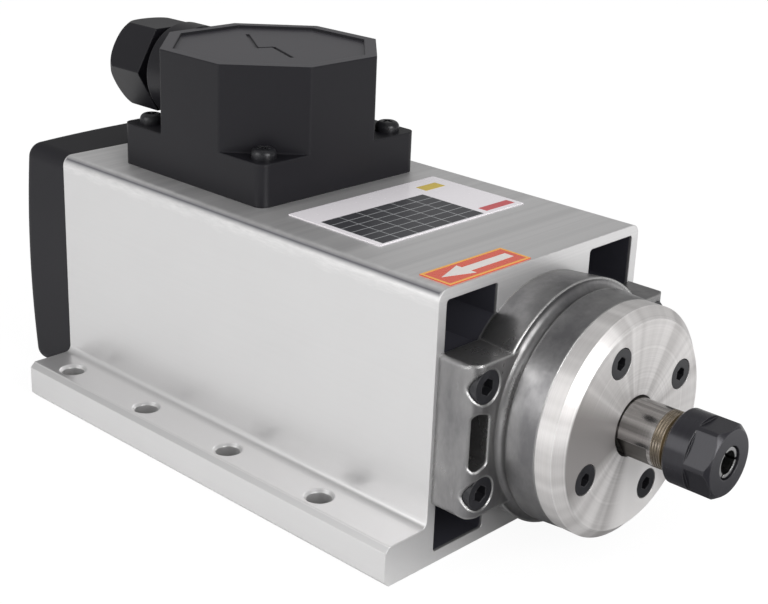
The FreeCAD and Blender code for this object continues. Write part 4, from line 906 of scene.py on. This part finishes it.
class SPINDLE_OT_nameplate(bpy.types.Operator):
    """Finish the plate and print its table and two colour fields, leaving the header bare"""

    bl_idname = "spindle.nameplate"
    bl_label = "Nameplate"

    def execute(self, context):
        layout = context.scene.spindle_print
        tint = context.scene.spindle_colours
        film = surface("White Film", "film", tuple(tint.plate), tuple(c * 0.98 for c in tint.plate),
                       (0.22, 0.30), bump=0.12, depth=0.06, edge=0.1, edge_amount=0.3, marks=0.02,
                       scratches=0.1, coat=0.3)
        dress(["nameplate"], film)
        dark = film_ink("Table Ink", tuple(tint.plate_print), tuple(c * 1.5 for c in tint.plate_print),
                        marks=0.2, specular=0.3)
        lines = film_ink("Line Ink", (0.42, 0.43, 0.44), (0.32, 0.33, 0.34))
        yellow = film_ink("Yellow Ink", (0.70, 0.52, 0.07), (0.60, 0.44, 0.06))
        red = film_ink("Red Ink", (0.62, 0.10, 0.11), (0.52, 0.08, 0.09))
        size_x = plate_high.x - plate_low.x
        size_y = plate_high.y - plate_low.y
        top = plate_high.z
        mesh = bmesh.new()
        film_sheet(mesh, plate_low.x + size_x * layout.table_from_rear, plate_high.x - layout.plate_margin,
                   plate_low.y + size_y * layout.table_left, plate_low.y + size_y * layout.table_right,
                   top, layout.table_columns, layout.table_rows)
        cells = list(mesh.faces)
        bmesh.ops.inset_individual(mesh, faces=cells, thickness=layout.line_width / 2.0, use_even_offset=True)
        for face in mesh.faces:
            face.material_index = 1
        for face in cells:
            face.material_index = 0
        thicken(mesh, layout.ink_thickness)
        finish_piece(mesh, "nameplate_table", "motor_frame", [dark, lines])
        # Name, ink and sides of each field, as shares of the plate's depth and width
        fields = (("nameplate_yellow_field", yellow, 0.14, 0.26, 0.78, 0.92),
                  ("nameplate_red_field", red, 0.86, 0.95, 0.76, 0.97))
        for name, ink, x0, x1, y0, y1 in fields:
            mesh = bmesh.new()
            film_sheet(mesh, plate_low.x + size_x * x0, plate_low.x + size_x * x1,
                       plate_low.y + size_y * y0, plate_low.y + size_y * y1, top, 2, 2)
            thicken(mesh, layout.ink_thickness)
            finish_piece(mesh, name, "motor_frame", [ink])
        return {"FINISHED"}


class SPINDLE_OT_arrow_label(bpy.types.Operator):
    """Finish the red label and print its yellow border and white arrow"""

    bl_idname = "spindle.arrow_label"
    bl_label = "Rotation Arrow"

    def execute(self, context):
        layout = context.scene.spindle_print
        tint = context.scene.spindle_colours
        red = surface("Arrow Film", "film", tuple(tint.arrow_film), tuple(c * 0.9 for c in tint.arrow_film),
                      (0.22, 0.34), bump=0.2, depth=0.1, edge=0.1, edge_amount=0.3, coat=0.4)
        dress(["rotation_label"], red)
        yellow = film_ink("Arrow Border", tuple(tint.arrow_border), tuple(c * 0.9 for c in tint.arrow_border))
        white = film_ink("Arrow White", (0.80, 0.77, 0.74), (0.70, 0.66, 0.63))
        top = arrow_high.z
        mesh = bmesh.new()
        film_sheet(mesh, arrow_low.x, arrow_high.x, arrow_low.y, arrow_high.y, top)
        inner = list(mesh.faces)
        bmesh.ops.inset_individual(mesh, faces=inner, thickness=layout.border_width, use_even_offset=True)
        bmesh.ops.delete(mesh, geom=inner, context="FACES")
        thicken(mesh, layout.ink_thickness)
        finish_piece(mesh, "arrow_border", "motor_frame", [yellow])
        middle = (arrow_low.x + arrow_high.x) / 2.0
        tip = arrow_low.y + layout.arrow_margin
        neck = tip + layout.arrow_head
        tail = arrow_high.y - layout.arrow_margin
        head = layout.arrow_head_width / 2.0
        shaft = layout.arrow_shaft_width / 2.0
        outline = [(middle, tip), (middle + head, neck), (middle + shaft, neck), (middle + shaft, tail),
                   (middle - shaft, tail), (middle - shaft, neck), (middle - head, neck)]
        mesh = bmesh.new()
        mesh.faces.new([mesh.verts.new((px, py, top)) for px, py in outline])
        thicken(mesh, layout.ink_thickness)
        finish_piece(mesh, "arrow_print", "motor_frame", [white])
        return {"FINISHED"}


def soft_lamp(name, place, target, size, power):
    """Square area lamp that faces a point."""
    data = bpy.data.lights.new(name, "AREA")
    data.shape = "SQUARE"
    data.size = size
    data.energy = power
    lamp = bpy.data.objects.new(name, data)
    lamp.location = place
    lamp.rotation_mode = "QUATERNION"
    lamp.rotation_quaternion = (Vector(target) - Vector(place)).to_track_quat("-Z", "Y")
    bpy.context.scene.collection.objects.link(lamp)


def floor_material(stage):
    """Pale floor that the camera sees as white, shaded beside the nose where metal reflects it."""
    material = bpy.data.materials.new("Studio Floor")
    material.use_nodes = True
    tree = material.node_tree
    tree.nodes.clear()
    out = tree.nodes.new("ShaderNodeOutputMaterial")
    path = tree.nodes.new("ShaderNodeLightPath")
    parts = split_place(tree)
    across = math_node(tree, "ADD", (parts, "X"), (parts, "Y"))
    near_end = ramp(tree, (across, 0), *CARD_NEAR_EDGE)
    far_end = ramp(tree, (across, 0), *CARD_FAR_EDGE)
    card = math_node(tree, "MULTIPLY", (near_end, 0), (far_end, 0))
    mirrored = math_node(tree, "MULTIPLY", (card, 0), (path, "Is Glossy Ray"))
    tone = mix_colour(tree, (mirrored, 0), tuple(stage.floor_colour), tuple(stage.floor_shade))
    matte = tree.nodes.new("ShaderNodeBsdfDiffuse")
    join(tree, tone, RESULT, matte, "Color")
    glow = add_node(tree, "ShaderNodeEmission", {"Color": (1.0, 1.0, 1.0, 1.0), "Strength": FLOOR_GLOW})
    seen = math_node(tree, "MULTIPLY", (path, "Is Camera Ray"), FLOOR_GLOW_SHARE)
    blend = tree.nodes.new("ShaderNodeMixShader")
    join(tree, seen, 0, blend, 0)
    join(tree, matte, 0, blend, 1)
    join(tree, glow, 0, blend, 2)
    join(tree, blend, 0, out, 0)
    return material


def studio_sky(stage):
    """Even sky: white to the camera, dimmer in reflections and as a light."""
    world = bpy.data.worlds.new("Studio Sky")
    world.use_nodes = True
    tree = world.node_tree
    tree.nodes.clear()
    out = tree.nodes.new("ShaderNodeOutputWorld")
    path = tree.nodes.new("ShaderNodeLightPath")
    strength = add_node(tree, "ShaderNodeMix", {"A": stage.world_strength, "B": stage.mirror_strength},
                        data_type="FLOAT")
    join(tree, path, "Is Glossy Ray", strength, "Factor")
    seen = math_node(tree, "MAXIMUM", (path, "Is Camera Ray"), (path, "Is Transmission Ray"))
    total = math_node(tree, "MAXIMUM", (seen, 0), (strength, 0))
    sky = add_node(tree, "ShaderNodeBackground", {"Color": (1.0, 1.0, 1.0, 1.0)})
    join(tree, total, 0, sky, "Strength")
    join(tree, sky, 0, out, 0)
    return world


class SPINDLE_OT_studio(bpy.types.Operator):
    """Set up the pale floor, soft lamps, sky and camera"""

    bl_idname = "spindle.studio"
    bl_label = "Studio"

    def execute(self, context):
        stage = context.scene.spindle_stage
        scene = context.scene
        scene.view_settings.view_transform = "Standard"

        mesh = bmesh.new()
        bmesh.ops.create_grid(mesh, x_segments=1, y_segments=1, size=3.0)
        data = bpy.data.meshes.new("studio_floor")
        mesh.to_mesh(data)
        mesh.free()
        floor = bpy.data.objects.new("studio_floor", data)
        scene.collection.objects.link(floor)
        data.materials.append(floor_material(stage))
        scene.world = studio_sky(stage)

        middle = (0.0, 0.0, axis_z)
        for name, setting, place, size in LAMPS:
            soft_lamp(name, place, middle, size, getattr(stage, setting))

        lens = bpy.data.cameras.new("photo_camera")
        lens.sensor_fit = "HORIZONTAL"
        lens.sensor_width = SENSOR_WIDTH
        lens.lens = stage.focal_pixels / IMAGE_WIDTH * SENSOR_WIDTH
        lens.clip_start = 0.01
        lens.clip_end = 20.0
        camera = bpy.data.objects.new("photo_camera", lens)
        scene.collection.objects.link(camera)
        forward = Vector((math.cos(stage.pitch) * math.cos(stage.heading),
                          math.cos(stage.pitch) * math.sin(stage.heading), -math.sin(stage.pitch)))
        level = forward.cross(Vector((0.0, 0.0, 1.0))).normalized()
        upward = level.cross(forward)
        right = level * math.cos(stage.roll) + upward * math.sin(stage.roll)
        up = upward * math.cos(stage.roll) - level * math.sin(stage.roll)
        turn = Matrix((right, up, -forward)).transposed()
        camera.matrix_world = Matrix.Translation(stage.camera_place) @ turn.to_4x4()
        scene.camera = camera
        return {"FINISHED"}


class SPINDLE_PT_dressing(bpy.types.Panel):
    """Sidebar list of the spindle motor's steps"""

    bl_idname = "SPINDLE_PT_dressing"
    bl_label = "Spindle Motor"
    bl_space_type = "VIEW_3D"
    bl_region_type = "UI"
    bl_category = "Spindle"

    def draw(self, context):
        column = self.layout.column(align=True)
        for step in STEPS:
            column.operator(step.bl_idname)
        for group in (context.scene.spindle_colours, context.scene.spindle_print,
                      context.scene.spindle_thread, context.scene.spindle_stage):
            box = self.layout.box()
            for key in group.__annotations__:
                box.prop(group, key)


STEPS = (SPINDLE_OT_housing, SPINDLE_OT_castings, SPINDLE_OT_cap, SPINDLE_OT_mouldings,
         SPINDLE_OT_screws, SPINDLE_OT_nose, SPINDLE_OT_inner_parts, SPINDLE_OT_nose_thread,
         SPINDLE_OT_nameplate, SPINDLE_OT_arrow_label, SPINDLE_OT_studio)
SETTINGS = (("spindle_colours", SpindleColours), ("spindle_print", SpindlePrint),
            ("spindle_thread", SpindleThread), ("spindle_stage", SpindleStage))


def register():
    for key, group in SETTINGS:
        bpy.utils.register_class(group)
        setattr(bpy.types.Scene, key, bpy.props.PointerProperty(type=group))
    for step in STEPS:
        bpy.utils.register_class(step)
    bpy.utils.register_class(SPINDLE_PT_dressing)


def unregister():
    bpy.utils.unregister_class(SPINDLE_PT_dressing)
    for step in reversed(STEPS):
        bpy.utils.unregister_class(step)
    for key, group in reversed(SETTINGS):
        delattr(bpy.types.Scene, key)
        bpy.utils.unregister_class(group)


def main():
    register()
    bpy.ops.spindle.housing()
    bpy.ops.spindle.castings()
    bpy.ops.spindle.cap()
    bpy.ops.spindle.mouldings()
    bpy.ops.spindle.screws()
    bpy.ops.spindle.nose()
    bpy.ops.spindle.inner_parts()
    bpy.ops.spindle.nose_thread()
    bpy.ops.spindle.nameplate()
    bpy.ops.spindle.arrow_label()
    bpy.ops.spindle.studio()


if __name__ == "__main__":
    main()
